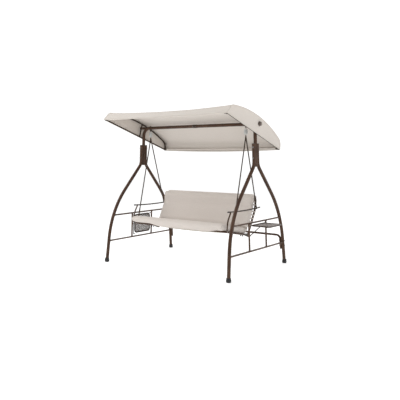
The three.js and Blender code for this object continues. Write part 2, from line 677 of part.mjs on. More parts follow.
function seatZ(y) {
  const slope = (SEAT_REAR.z - SEAT_FRONT.z) / (SEAT_REAR.y - SEAT_FRONT.y);
  return SEAT_FRONT.z + slope * (y - SEAT_FRONT.y);
}

function seatFrame() {
  const stations = rounded([
    { at: at(-SEAT_HALF_X, SEAT_REAR.y, SEAT_REAR.z) },
    { at: at(-SEAT_HALF_X, SEAT_FRONT.y, SEAT_FRONT.z), r: SEAT_CORNER_R, pieces: 4 },
    { at: at(SEAT_HALF_X, SEAT_FRONT.y, SEAT_FRONT.z), r: SEAT_CORNER_R, pieces: 4 },
    { at: at(SEAT_HALF_X, SEAT_REAR.y, SEAT_REAR.z) },
  ]);
  const loop = tube(stations, SEAT_TUBE_D, SEAT_TUBE_WALL);
  const y = SEAT_REAR.y - SEAT_BAR_BACK;
  const tubeFlat = SEAT_TUBE_D / 2 * Math.cos(Math.PI / SIDES_SMALL);
  const reach = SEAT_HALF_X - tubeFlat + SEAT_TUBE_WALL / 2;   // the bar ends inside the tubes' walls
  const bar = tube([at(-reach, y, seatZ(y)), at(reach, y, seatZ(y))], SEAT_BAR_D);
  add('seat_frame', joined(loop, bar), BRONZE);
  const edge = SEAT_TUBE_D / 2 + SLING_ROOM;
  const from = SEAT_FRONT.y + edge;
  const to = y - SEAT_BAR_D / 2 - GAP;
  const half = SEAT_HALF_X - edge;
  const outline = [
    { y: from, z: seatZ(from) - SLING_T }, { y: to, z: seatZ(to) - SLING_T },
    { y: to, z: seatZ(to) }, { y: from, z: seatZ(from) },
  ];
  add('seat_sling', plate(outline, -half, half), SLING_CLOTH);
}

function backFrame() {
  const point = (sign, { y, z }) => at(sign * SEAT_HALF_X, y, z);
  const stations = rounded([
    { at: point(-1, HINGE) },
    { at: point(-1, BACK_KNEE), r: BACK_KNEE_R, pieces: 3 },
    { at: point(-1, BACK_TOP), r: BACK_CORNER_R, pieces: 4 },
    { at: point(1, BACK_TOP), r: BACK_CORNER_R, pieces: 4 },
    { at: point(1, BACK_KNEE), r: BACK_KNEE_R, pieces: 3 },
    { at: point(1, HINGE) },
  ]);
  const along = at(0, BACK_KNEE.y - HINGE.y, BACK_KNEE.z - HINGE.z).normalize();
  const startBack = 10;
  stations[0].addScaledVector(along, -startBack);
  stations[stations.length - 1].addScaledVector(along, -startBack);
  const reach = SEAT_HALF_X + SEAT_TUBE_D;
  const holes = SIDES.map(({ sign }) => hole(at(sign * (SEAT_HALF_X - SEAT_TUBE_D), HINGE.y, HINGE.z),
    at(sign * reach, HINGE.y, HINGE.z), HINGE_PIN_D));
  add('back_frame', cut(tube(stations, SEAT_TUBE_D, SEAT_TUBE_WALL), ...holes), BRONZE);
}

/** The plate that joins seat and back, with the pin on which the back reclines. */
function reclineBracket(side) {
  const face = SEAT_HALF_X + SEAT_SIDE;
  const y = SEAT_REAR.y - BRACKET_LENGTH;
  const back = HINGE.y + BRACKET_BACK;
  const outline = [
    { y, z: seatZ(y) - BRACKET_HALF_H }, { y: HINGE.y - 6, z: HINGE.z - 26 },
    { y: back, z: HINGE.z - 14 }, { y: back, z: HINGE.z + BRACKET_HALF_H },
    { y: HINGE.y - 4, z: HINGE.z + 18 }, { y, z: seatZ(y) + BRACKET_HALF_H },
  ];
  const inner = side.sign * face;
  const outer = side.sign * (face + BRACKET_T);
  const sheet = plate(outline, Math.min(inner, outer), Math.max(inner, outer));
  const tip = side.sign * (SEAT_HALF_X - SEAT_TUBE_D / 2 - 3);
  const middle = side.sign * (face + BRACKET_T / 2);
  const hingePin = pin(at(tip, HINGE.y, HINGE.z), at(middle, HINGE.y, HINGE.z), HINGE_PIN_D);
  add(`recline_bracket_${side.word}`, joined(sheet, hingePin), DARK_BRONZE);
}

/** Height of the armrest's centreline: a shallow curve, lowest in the middle. */
function armZ(y) {
  const middle = (ARM_FRONT_Y + ARM_REAR_Y) / 2;
  const share = (y - middle) / ((ARM_REAR_Y - ARM_FRONT_Y) / 2);
  return ARM_Z + ARM_RISE * share * share;
}

function armrest(side) {
  const x = side.sign * ARM_X;
  const stations = [];
  const pieces = 6;
  for (let k = 0; k <= pieces; k++) {
    const y = ARM_FRONT_Y + (ARM_REAR_Y - ARM_FRONT_Y) * k / pieces;
    stations.push(at(x, y, armZ(y)));
  }
  add(`armrest_${side.word}`, tube(stations, ARM_D, 0), DARK_BRONZE);
  const room = tube(stations, ARM_D + 2 * GAP, 0);
  const top = { y: ARM_SUPPORT_TOP_Y, z: armZ(ARM_SUPPORT_TOP_Y) };
  const tip = at(x, ARM_SUPPORT_FOOT_Y, seatZ(ARM_SUPPORT_FOOT_Y));
  const foot = tip.clone().add(at(0, 0, SEAT_TUBE_D / 2 + ARM_SUPPORT_LIFT));
  const support = tube(rounded([
    { at: at(x, top.y, top.z) },
    { at: at(x, (top.y + foot.y) / 2 - ARM_SUPPORT_BOW, (top.z + foot.z) / 2),
      r: ARM_SUPPORT_R, pieces: 4 },
    { at: tip },
  ]), ARM_SUPPORT_D);
  const seatFace = side.sign * (SEAT_HALF_X + SEAT_SIDE);
  const ledge = Math.min(seatFace, seatFace - side.sign * 30);
  const block = plate([
    { y: foot.y - 40, z: foot.z - 60 }, { y: foot.y + 40, z: foot.z - 60 },
    { y: foot.y + 40, z: foot.z + 20 }, { y: foot.y - 40, z: foot.z + 20 },
  ], ledge, ledge + 30);
  add(`arm_support_${side.word}`, cut(support, room, block), BRONZE);
}

function cushions() {
  const seat = SEAT_CUSHION.map(({ y, up }) => ({ y, z: seatZ(y) + SEAT_TUBE_D / 2 + up }));
  add('seat_cushion', plate(seat, -CUSHION_HALF_X, CUSHION_HALF_X), CUSHION_CLOTH);
  const lower = Math.atan2(BACK_KNEE.z - HINGE.z, BACK_KNEE.y - HINGE.y);
  const upper = Math.atan2(BACK_TOP.z - BACK_KNEE.z, BACK_TOP.y - BACK_KNEE.y);
  const back = BACK_CUSHION.map(({ along, ahead }) => {
    const rise = along < 0 ? lower : upper;
    const out = SEAT_TUBE_D / 2 + ahead;
    return {
      y: BACK_KNEE.y + along * Math.cos(rise) - out * Math.sin(rise),
      z: BACK_KNEE.z + along * Math.sin(rise) + out * Math.cos(rise),
    };
  });
  add('back_cushion', plate(back, -CUSHION_HALF_X, CUSHION_HALF_X), CUSHION_CLOTH);
}

// ---------------------------------------------------------------- side tables

/** A table in its own frame: hinge along Y at the origin, top reaching out along +X. */
function tableParts() {
  const reach = TABLE_LENGTH - TABLE_TUBE_D / 2;
  const corner = { r: TABLE_CORNER_R, pieces: 3 };
  const halves = [-1, 1].map((way) => tube(rounded([
    { at: at(0, -way * 4, 0) },
    { at: at(0, way * TABLE_HALF_Y, 0), ...corner },
    { at: at(reach, way * TABLE_HALF_Y, 0), ...corner },
    { at: at(reach, -way * 4, 0) },
  ]), TABLE_TUBE_D, 0, SIDES_WIRE));
  const pinEnd = UPRIGHT_Y - UPRIGHT_D / 2 + TABLE_PIN_IN;
  const shaft = pin(at(0, -pinEnd, 0), at(0, pinEnd, 0), TABLE_PIN_D);
  const frame = joined(...halves, shaft);
  const inner = TABLE_TUBE_D / 2 + 2 * GAP;
  const outline = new THREE.Shape();
  const low = { x: inner, y: -TABLE_HALF_Y + inner };
  const high = { x: reach - inner, y: TABLE_HALF_Y - inner };
  const r = TABLE_CORNER_R - inner;
  outline.moveTo(low.x + r, low.y);
  outline.lineTo(high.x - r, low.y);
  outline.absarc(high.x - r, low.y + r, r, -Math.PI / 2, 0);
  outline.lineTo(high.x, high.y - r);
  outline.absarc(high.x - r, high.y - r, r, 0, Math.PI / 2);
  outline.lineTo(low.x + r, high.y);
  outline.absarc(low.x + r, high.y - r, r, Math.PI / 2, Math.PI);
  outline.lineTo(low.x, low.y + r);
  outline.absarc(low.x + r, low.y + r, r, Math.PI, 1.5 * Math.PI);
  const panel = new THREE.ExtrudeGeometry(outline,
    { depth: TABLE_PANEL_T, bevelEnabled: false, curveSegments: 3 });
  panel.translate(0, 0, -TABLE_PANEL_T / 2);
  return { frame, panel };
}

// The strut's pivot and top, seen from the table hinge of the unfolded table
const STRUT_PIVOT = sidePoint(1, TABLE_HINGE_Z - STRUT_DROP).sub(sidePoint(1, TABLE_HINGE_Z));
const STRUT_TOP = { x: STRUT_REACH, z: -(TABLE_TUBE_D / 2 + STRUT_D / 2 + 1) };

/** A strut in its own frame: pivot along Y at the origin, pointing along +X. */
function strutShape() {
  const length = Math.hypot(STRUT_TOP.x - STRUT_PIVOT.x, STRUT_TOP.z - STRUT_PIVOT.z);
  const rod = tube([at(0, STRUT_Y, 0), at(length, STRUT_Y, 0)], STRUT_D, 0, SIDES_WIRE);
  const pinEnd = Math.sign(STRUT_Y) * (UPRIGHT_Y - UPRIGHT_D / 2 + TABLE_PIN_IN);
  const pivot = pin(at(0, STRUT_Y + STRUT_D / 2, 0), at(0, pinEnd, 0), TABLE_PIN_D);
  const padEnd = Math.sign(STRUT_Y) * (TABLE_HALF_Y - 2);
  const pad = pin(at(length, STRUT_Y - STRUT_D / 2, 0), at(length, padEnd, 0), STRUT_D);
  return joined(rod, pivot, pad);
}

/** The right table stands unfolded on its strut; the left one hangs folded down. */
function sideTables() {
  const openAngle = Math.atan2(STRUT_TOP.z - STRUT_PIVOT.z, STRUT_TOP.x - STRUT_PIVOT.x);
  for (const side of SIDES) {
    const { frame, panel } = tableParts();
    const strut = strutShape();
    const folded = side.sign < 0;
    const table = new THREE.Group();
    table.position.copy(sidePoint(side.sign, TABLE_HINGE_Z));
    table.rotation.y = folded ? Math.PI / 2 : 0;
    add(`table_frame_${side.word}`, frame, DARK_BRONZE, table);
    add(`table_panel_${side.word}`, panel, MESH_GREY, table);
    const arm = new THREE.Group();
    arm.position.copy(sidePoint(side.sign, TABLE_HINGE_Z - STRUT_DROP));
    arm.rotation.y = folded ? Math.PI / 2 : -openAngle;
    add(`table_strut_${side.word}`, strut, DARK_BRONZE, arm);
    bench.add(table, arm);
  }
}

// ---------------------------------------------------------------- build it all

for (const side of SIDES) {
  const frame = new THREE.Group();
  frame.applyMatrix4(sidePlace(side.sign));
  legs(side, frame);
  ladder(side, frame);
  frameBolts(side, frame);
  bench.add(frame);
  feet(side);
  canopySideFrame(side);
  canopyKnob(side);
  beamHook(side);
  hangerSpring(side);
  hanger(side);
  reclineBracket(side);
  armrest(side);
}
crossbeam();
rearStretcher();
canopyBars();
canopyCover();
seatFrame();
backFrame();
cushions();
sideTables();

bench.updateMatrixWorld(true);
const extent = new THREE.Box3().setFromObject(bench, true);
bench.position.x = -(extent.min.x + extent.max.x) / 2;
bench.position.y = -(extent.min.y + extent.max.y) / 2;

export default bench;
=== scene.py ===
"""Canopy swing bench: the visual model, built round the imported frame.

Every sub-assembly is a class. Its fields are its sizes in metres, its methods make its meshes and
dress them in their finishes. Positions come from the frame's joints and node boxes, seen from the
middle of the stand.
"""

from __future__ import annotations

import json
import logging
import math
from dataclasses import dataclass, field
from enum import Enum
from typing import Callable, Iterable, Sequence

import bmesh
import bpy
import numpy as np
from mathutils import Matrix, Vector, noise
from mathutils.bvhtree import BVHTree

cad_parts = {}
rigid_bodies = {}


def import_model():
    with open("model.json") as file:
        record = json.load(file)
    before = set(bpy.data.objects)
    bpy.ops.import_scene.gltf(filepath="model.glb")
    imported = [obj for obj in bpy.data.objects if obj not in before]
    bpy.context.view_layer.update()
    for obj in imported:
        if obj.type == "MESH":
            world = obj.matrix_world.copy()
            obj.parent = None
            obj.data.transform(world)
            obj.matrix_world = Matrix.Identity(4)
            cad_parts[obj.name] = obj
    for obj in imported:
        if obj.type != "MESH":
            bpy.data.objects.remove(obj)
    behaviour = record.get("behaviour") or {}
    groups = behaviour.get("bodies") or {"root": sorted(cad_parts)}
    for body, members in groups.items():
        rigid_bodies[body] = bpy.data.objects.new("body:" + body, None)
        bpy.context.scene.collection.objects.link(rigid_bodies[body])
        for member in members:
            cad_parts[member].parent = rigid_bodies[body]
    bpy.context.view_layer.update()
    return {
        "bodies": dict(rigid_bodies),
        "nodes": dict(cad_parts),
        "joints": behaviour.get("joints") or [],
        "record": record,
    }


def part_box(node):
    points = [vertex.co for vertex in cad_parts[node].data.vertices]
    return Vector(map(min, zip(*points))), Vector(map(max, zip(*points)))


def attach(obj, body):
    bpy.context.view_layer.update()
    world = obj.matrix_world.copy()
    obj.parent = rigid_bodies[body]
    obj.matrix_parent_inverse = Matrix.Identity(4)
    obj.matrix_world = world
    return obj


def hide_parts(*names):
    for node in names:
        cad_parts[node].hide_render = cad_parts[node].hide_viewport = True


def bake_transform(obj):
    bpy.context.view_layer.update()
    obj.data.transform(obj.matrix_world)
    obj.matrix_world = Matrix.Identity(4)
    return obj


logging.basicConfig(level=logging.INFO, format="%(name)s: %(message)s")
LOG = logging.getLogger("swing_bench")

RGB = tuple[float, float, float]
Line = list[Vector]
UP = Vector((0.0, 0.0, 1.0))
ACROSS = Vector((1.0, 0.0, 0.0))
BACKWARD = Vector((0.0, 1.0, 0.0))


class Side(Enum):
    """The two ends of the bench."""

    LEFT = -1
    RIGHT = 1

    @property
    def word(self) -> str:
        """The side's name as it stands in node names."""
        return self.name.lower()

    @property
    def sign(self) -> int:
        """-1 to the left, 1 to the right."""
        return self.value


class End(Enum):
    """Front and rear of the stand."""

    FRONT = -1
    REAR = 1

    @property
    def word(self) -> str:
        """The end's name as it stands in node names."""
        return self.name.lower()

    @property
    def sign(self) -> int:
        """-1 to the front, 1 to the rear."""
        return self.value


class Slot(Enum):
    """The record's material slots."""

    BRONZE = "bronze_tube"
    DARK = "dark_tube"
    BLACK = "black_plastic"
    ZINC = "spring_zinc"
    CANOPY = "canopy_cloth"
    CUSHION = "cushion_cloth"
    SLING = "sling_cloth"
    MESH = "table_mesh"
    KNOB = "knob_plastic"


# ------------------------------------------------------------------------------ shader groups


class NodeGroup:
    """A shader node group under construction, with named inputs and outputs."""

    def __init__(self, name: str, inputs: dict[str, float | None], outputs: Sequence[str]) -> None:
        """Makes the empty group.

        Args:
            name: the group's name.
            inputs: each input's name and default; None makes a vector input.
            outputs: the names of its float outputs.
        """
        self.tree = bpy.data.node_groups.new(name, "ShaderNodeTree")
        for key, default in inputs.items():
            kind = "NodeSocketVector" if default is None else "NodeSocketFloat"
            socket = self.tree.interface.new_socket(name=key, in_out="INPUT", socket_type=kind)
            if default is not None:
                socket.default_value = default
        for key in outputs:
            self.tree.interface.new_socket(name=key, in_out="OUTPUT", socket_type="NodeSocketFloat")
        self.entry = self.tree.nodes.new("NodeGroupInput")
        self.exit = self.tree.nodes.new("NodeGroupOutput")

    def node(self, kind: str, **settings: object) -> bpy.types.Node:
        """A new node with properties set."""
        made = self.tree.nodes.new(kind)
        for key, value in settings.items():
            setattr(made, key, value)
        return made

    def link(self, start: bpy.types.NodeSocket, end: bpy.types.NodeSocket) -> None:
        """Joins an output to an input."""
        self.tree.links.new(start, end)

    def maths(self, operation: str, *terms: bpy.types.NodeSocket | float) -> bpy.types.NodeSocket:
        """The result of a Math node on sockets or plain numbers."""
        made = self.node("ShaderNodeMath", operation=operation)
        for slot, term in zip(made.inputs, terms):
            if isinstance(term, (int, float)):
                slot.default_value = term
            else:
                self.link(term, slot)
        return made.outputs[0]

    def noise(self, place: bpy.types.NodeSocket, scale: bpy.types.NodeSocket | float,
              detail: float = 3.0) -> bpy.types.NodeSocket:
        """The value of a noise texture at a place."""
        made = self.node("ShaderNodeTexNoise")
        made.inputs["Detail"].default_value = detail
        self.link(place, made.inputs["Vector"])
        if isinstance(scale, (int, float)):
            made.inputs["Scale"].default_value = scale
        else:
            self.link(scale, made.inputs["Scale"])
        return made.outputs["Fac"]

    def ramp(self, value: bpy.types.NodeSocket, low: float, high: float) -> bpy.types.NodeSocket:
        """A value stretched so that low becomes 0 and high becomes 1."""
        made = self.node("ShaderNodeMapRange", interpolation_type="SMOOTHSTEP")
        made.inputs["From Min"].default_value = low
        made.inputs["From Max"].default_value = high
        self.link(value, made.inputs["Value"])
        return made.outputs["Result"]


def weave_group() -> bpy.types.NodeTree:
    """Plain weave on all three planes: thread height, painted shade in the gaps between threads, and thicker
    yarns.

    Returns:
        The group, with Height, Gap and Slub outputs.
    """
    group = NodeGroup("cloth_weave", {"Vector": None, "Pitch": 0.002, "Slub Scale": 40.0},
                      ["Height", "Gap", "Slub"])
    place = group.entry.outputs["Vector"]
    split = group.node("ShaderNodeSeparateXYZ")
    group.link(place, split.inputs[0])
    turn = group.maths("DIVIDE", 2 * math.pi, group.entry.outputs["Pitch"])
    wave = [group.maths("SINE", group.maths("MULTIPLY", axis, turn)) for axis in split.outputs]
    geometry = group.node("ShaderNodeNewGeometry")
    facing = group.node("ShaderNodeSeparateXYZ")
    group.link(geometry.outputs["Normal"], facing.inputs[0])
    flat = [group.maths("POWER", group.maths("ABSOLUTE", axis), 3.0) for axis in facing.outputs]
    total = group.maths("ADD", group.maths("ADD", flat[0], flat[1]), flat[2])
    sheets = []
    for share, (first, second) in zip(flat, ((1, 2), (0, 2), (0, 1))):
        checks = group.maths("MULTIPLY", wave[first], wave[second])
        sheets.append(group.maths("MULTIPLY", checks, group.maths("DIVIDE", share, total)))
    checks = group.maths("ADD", group.maths("ADD", sheets[0], sheets[1]), sheets[2])
    group.link(group.maths("MULTIPLY_ADD", checks, 0.5, 0.5), group.exit.inputs["Height"])
    # Painted shade: a mask that is 1 in the gaps between threads, where the cloth colour is darkened as if
    # shaded.
    thread_gap_shade = group.ramp(group.maths("ABSOLUTE", checks), 0.25, 0.0)
    group.link(thread_gap_shade, group.exit.inputs["Gap"])
    stretch = group.node("ShaderNodeMapping")
    stretch.inputs["Scale"].default_value = (0.06, 1.0, 1.0)
    group.link(place, stretch.inputs["Vector"])
    yarn = group.noise(stretch.outputs["Vector"], group.entry.outputs["Slub Scale"], 4.0)
    group.link(group.ramp(yarn, 0.35, 0.72), group.exit.inputs["Slub"])
    return group.tree


def grain_group() -> bpy.types.NodeTree:
    """Fine orange peel and broad mottling, for coated or moulded surfaces.

    Returns:
        The group, with Fine and Broad outputs.
    """
    group = NodeGroup("fine_grain", {"Vector": None, "Fine Scale": 900.0, "Broad Scale": 9.0},
                      ["Fine", "Broad"])
    place = group.entry.outputs["Vector"]
    fine = group.noise(place, group.entry.outputs["Fine Scale"], 2.0)
    broad = group.noise(place, group.entry.outputs["Broad Scale"], 5.0)
    group.link(fine, group.exit.inputs["Fine"])
    group.link(group.ramp(broad, 0.3, 0.7), group.exit.inputs["Broad"])
    return group.tree


def wear_group() -> bpy.types.NodeTree:
    """Where edges and corners have rubbed: convex places, broken up by noise.

    Returns:
        The group, with a Mask output.
    """
    group = NodeGroup("edge_wear", {"Vector": None, "Scale": 60.0, "Amount": 0.5}, ["Mask"])
    geometry = group.node("ShaderNodeNewGeometry")
    edge = group.ramp(geometry.outputs["Pointiness"], 0.53, 0.62)
    patches = group.noise(group.entry.outputs["Vector"], group.entry.outputs["Scale"], 6.0)
    broken = group.maths("MULTIPLY", edge, group.ramp(patches, 0.42, 0.66))
    mask = group.maths("MULTIPLY", broken, group.entry.outputs["Amount"])
    group.link(mask, group.exit.inputs["Mask"])
    return group.tree


def dust_group() -> bpy.types.NodeTree:
    """Dust that settles on what faces up and gathers low down.

    Returns:
        The group, with a Mask output.
    """
    group = NodeGroup("settled_dust", {"Vector": None, "Scale": 14.0, "Amount": 0.3}, ["Mask"])
    geometry = group.node("ShaderNodeNewGeometry")
    facing = group.node("ShaderNodeSeparateXYZ")
    group.link(geometry.outputs["Normal"], facing.inputs[0])
    upward = group.ramp(facing.outputs["Z"], 0.2, 1.0)
    patches = group.noise(group.entry.outputs["Vector"], group.entry.outputs["Scale"], 7.0)
    settled = group.maths("MULTIPLY", upward, group.ramp(patches, 0.25, 0.8))
    group.link(group.maths("MULTIPLY", settled, group.entry.outputs["Amount"]),
               group.exit.inputs["Mask"])
    return group.tree


@dataclass
class ShaderKit:
    """The node groups that the finishes share."""

    weave: bpy.types.NodeTree = field(default_factory=weave_group)
    grain: bpy.types.NodeTree = field(default_factory=grain_group)
    wear: bpy.types.NodeTree = field(default_factory=wear_group)
    dust: bpy.types.NodeTree = field(default_factory=dust_group)


class Finisher:
    """Builds one material round its Principled shader."""

    def __init__(self, name: str, colour: RGB) -> None:
        """Starts a material with a base colour."""
        self.material = bpy.data.materials.new(name)
        self.material.use_nodes = True
        self.material.diffuse_color = (*colour, 1.0)
        self.tree = self.material.node_tree
        self.shader = self.tree.nodes["Principled BSDF"]
        self.shader.inputs["Base Color"].default_value = (*colour, 1.0)
        self.place = self.tree.nodes.new("ShaderNodeTexCoord").outputs["Object"]

    def group(self, tree: bpy.types.NodeTree, **values: float) -> bpy.types.Node:
        """Places a shared group and sets its inputs, whose names have _ for a space."""
        made = self.tree.nodes.new("ShaderNodeGroup")
        made.node_tree = tree
        self.tree.links.new(self.place, made.inputs["Vector"])
        for key, value in values.items():
            made.inputs[key.replace("_", " ")].default_value = value
        return made

    def blend(self, mask: bpy.types.NodeSocket, under: bpy.types.NodeSocket | RGB,
              over: RGB) -> bpy.types.NodeSocket:
        """A colour that goes from under to over as the mask goes from 0 to 1."""
        mix = self.tree.nodes.new("ShaderNodeMix")
        mix.data_type = "RGBA"
        self.tree.links.new(mask, mix.inputs["Factor"])
        if isinstance(under, tuple):
            mix.inputs["A"].default_value = (*under, 1.0)
        else:
            self.tree.links.new(under, mix.inputs["A"])
        mix.inputs["B"].default_value = (*over, 1.0)
        return mix.outputs["Result"]

    def spread(self, value: bpy.types.NodeSocket, low: float, high: float) -> bpy.types.NodeSocket:
        """A 0 to 1 value carried to a range."""
        made = self.tree.nodes.new("ShaderNodeMapRange")
        made.inputs["To Min"].default_value = low
        made.inputs["To Max"].default_value = high
        self.tree.links.new(value, made.inputs["Value"])
        return made.outputs["Result"]

    def feed(self, socket: str, value: bpy.types.NodeSocket) -> None:
        """Links a value to one of the shader's inputs."""
        self.tree.links.new(value, self.shader.inputs[socket])

    def bump(self, heights: Sequence[tuple[bpy.types.NodeSocket, float]], strength: float) -> None:
        """Bumps the surface by heights, each with its depth in metres, one after another.

        Args:
            heights: sockets with a 0 to 1 height, and the depth that 1 stands for.
            strength: how strongly each bump shows.
        """
        normal = None
        for height, depth in heights:
            made = self.tree.nodes.new("ShaderNodeBump")
            made.inputs["Strength"].default_value = strength
            made.inputs["Distance"].default_value = depth
            self.tree.links.new(height, made.inputs["Height"])
            if normal is not None:
                self.tree.links.new(normal, made.inputs["Normal"])
            normal = made.outputs["Normal"]
        self.feed("Normal", normal)


@dataclass(frozen=True)
class CoatedSteel:
    """Powder-coated steel tube or plate."""

    name: str
    colour: RGB
    deep: RGB
    worn: RGB = (0.30, 0.22, 0.17)
    roughness: float = 0.38
    metallic: float = 0.35
    coat: float = 0.05
    gloss: float = 0.3
    wear: float = 0.4
    dust: float = 0.04

    def make(self, kit: ShaderKit) -> bpy.types.Material:
        """Builds the material.

        Args:
            kit: the shared node groups.

        Returns:
            The new material.
        """
        work = Finisher(self.name, self.colour)
        grain = work.group(kit.grain, Fine_Scale=1100.0, Broad_Scale=7.0)
        wear = work.group(kit.wear, Scale=85.0, Amount=self.wear)
        dust = work.group(kit.dust, Scale=18.0, Amount=self.dust)
        colour = work.blend(grain.outputs["Broad"], self.deep, self.colour)
        colour = work.blend(wear.outputs["Mask"], colour, self.worn)
        colour = work.blend(dust.outputs["Mask"], colour, (0.45, 0.42, 0.38))
        work.feed("Base Color", colour)
        work.feed("Roughness", work.spread(grain.outputs["Broad"], self.roughness + 0.08,
                                           self.roughness - 0.04))
        work.shader.inputs["Metallic"].default_value = self.metallic
        work.shader.inputs["Coat Weight"].default_value = self.coat
        work.shader.inputs["Coat Roughness"].default_value = 0.18
        work.shader.inputs["Specular IOR Level"].default_value = self.gloss
        work.bump([(grain.outputs["Fine"], 0.0002)], 0.35)
        return work.material


@dataclass(frozen=True)
class BareSteel:
    """Zinc-plated steel wire, or bright screws."""

    name: str
    colour: RGB
    roughness: float = 0.28
    metallic: float = 0.9

    def make(self, kit: ShaderKit) -> bpy.types.Material:
        """Builds the material.

        Args:
            kit: the shared node groups.

        Returns:
            The new material.
        """
        work = Finisher(self.name, self.colour)
        grain = work.group(kit.grain, Fine_Scale=1600.0, Broad_Scale=60.0)
        wear = work.group(kit.wear, Scale=140.0, Amount=0.5)
        dull = tuple(0.72 * part for part in self.colour)
        colour = work.blend(grain.outputs["Broad"], dull, self.colour)
        work.feed("Base Color", work.blend(wear.outputs["Mask"], colour, (0.9, 0.9, 0.9)))
        work.feed("Roughness", work.spread(grain.outputs["Broad"], self.roughness + 0.14,
                                           self.roughness))
        work.shader.inputs["Metallic"].default_value = self.metallic
        work.bump([(grain.outputs["Fine"], 0.00012)], 0.3)
        return work.material


@dataclass(frozen=True)
class Moulded:
    """Moulded plastic with a fine spark texture."""

    name: str
    colour: RGB
    roughness: float = 0.5
    dust: float = 0.25

    def make(self, kit: ShaderKit) -> bpy.types.Material:
        """Builds the material.

        Args:
            kit: the shared node groups.

        Returns:
            The new material.
        """
        work = Finisher(self.name, self.colour)
        grain = work.group(kit.grain, Fine_Scale=1400.0, Broad_Scale=25.0)
        wear = work.group(kit.wear, Scale=120.0, Amount=0.4)
        dust = work.group(kit.dust, Scale=30.0, Amount=self.dust)
        pale = tuple(min(1.0, part * 2.1 + 0.03) for part in self.colour)
        colour = work.blend(wear.outputs["Mask"], self.colour, pale)
        work.feed("Base Color", work.blend(dust.outputs["Mask"], colour, (0.3, 0.29, 0.27)))
        work.feed("Roughness", work.spread(grain.outputs["Broad"], self.roughness - 0.06,
                                           self.roughness + 0.1))
        work.bump([(grain.outputs["Fine"], 0.00025)], 0.5)
        return work.material


@dataclass(frozen=True)
class Cloth:
    """Woven cloth: thread by thread relief, painted shade between the threads, slubs, faint fading and
    sheen.
    """

    name: str
    colour: RGB
    shade: RGB
    pitch: float = 0.0022
    thread: float = 0.0003
    sheen: float = 0.12
    roughness: float = 0.88
    dust: float = 0.12

    def make(self, kit: ShaderKit) -> bpy.types.Material:
        """Builds the material.

        Args:
            kit: the shared node groups.

        Returns:
            The new material.
        """
        work = Finisher(self.name, self.colour)
        weave = work.group(kit.weave, Pitch=self.pitch, Slub_Scale=260.0)
        grain = work.group(kit.grain, Fine_Scale=700.0, Broad_Scale=3.2)
        dust = work.group(kit.dust, Scale=9.0, Amount=self.dust)
        # Painted shade: a darker colour laid into the gaps between threads.
        thread_gap_shade = tuple(0.72 * part for part in self.shade)
        colour = work.blend(work.spread(weave.outputs["Slub"], 0.0, 0.55), self.colour, self.shade)
        colour = work.blend(work.spread(weave.outputs["Gap"], 0.0, 0.3), colour, thread_gap_shade)
        colour = work.blend(work.spread(grain.outputs["Broad"], 0.25, 0.0), colour, self.shade)
        work.feed("Base Color", work.blend(dust.outputs["Mask"], colour, (0.5, 0.46, 0.4)))
        work.feed("Roughness", work.spread(weave.outputs["Height"], self.roughness + 0.06,
                                           self.roughness - 0.04))
        work.shader.inputs["Sheen Weight"].default_value = self.sheen
        work.shader.inputs["Sheen Roughness"].default_value = 0.6
        work.shader.inputs["Specular IOR Level"].default_value = 0.25
        work.bump([(weave.outputs["Height"], self.thread), (weave.outputs["Slub"], 0.0002)], 0.45)
        return work.material


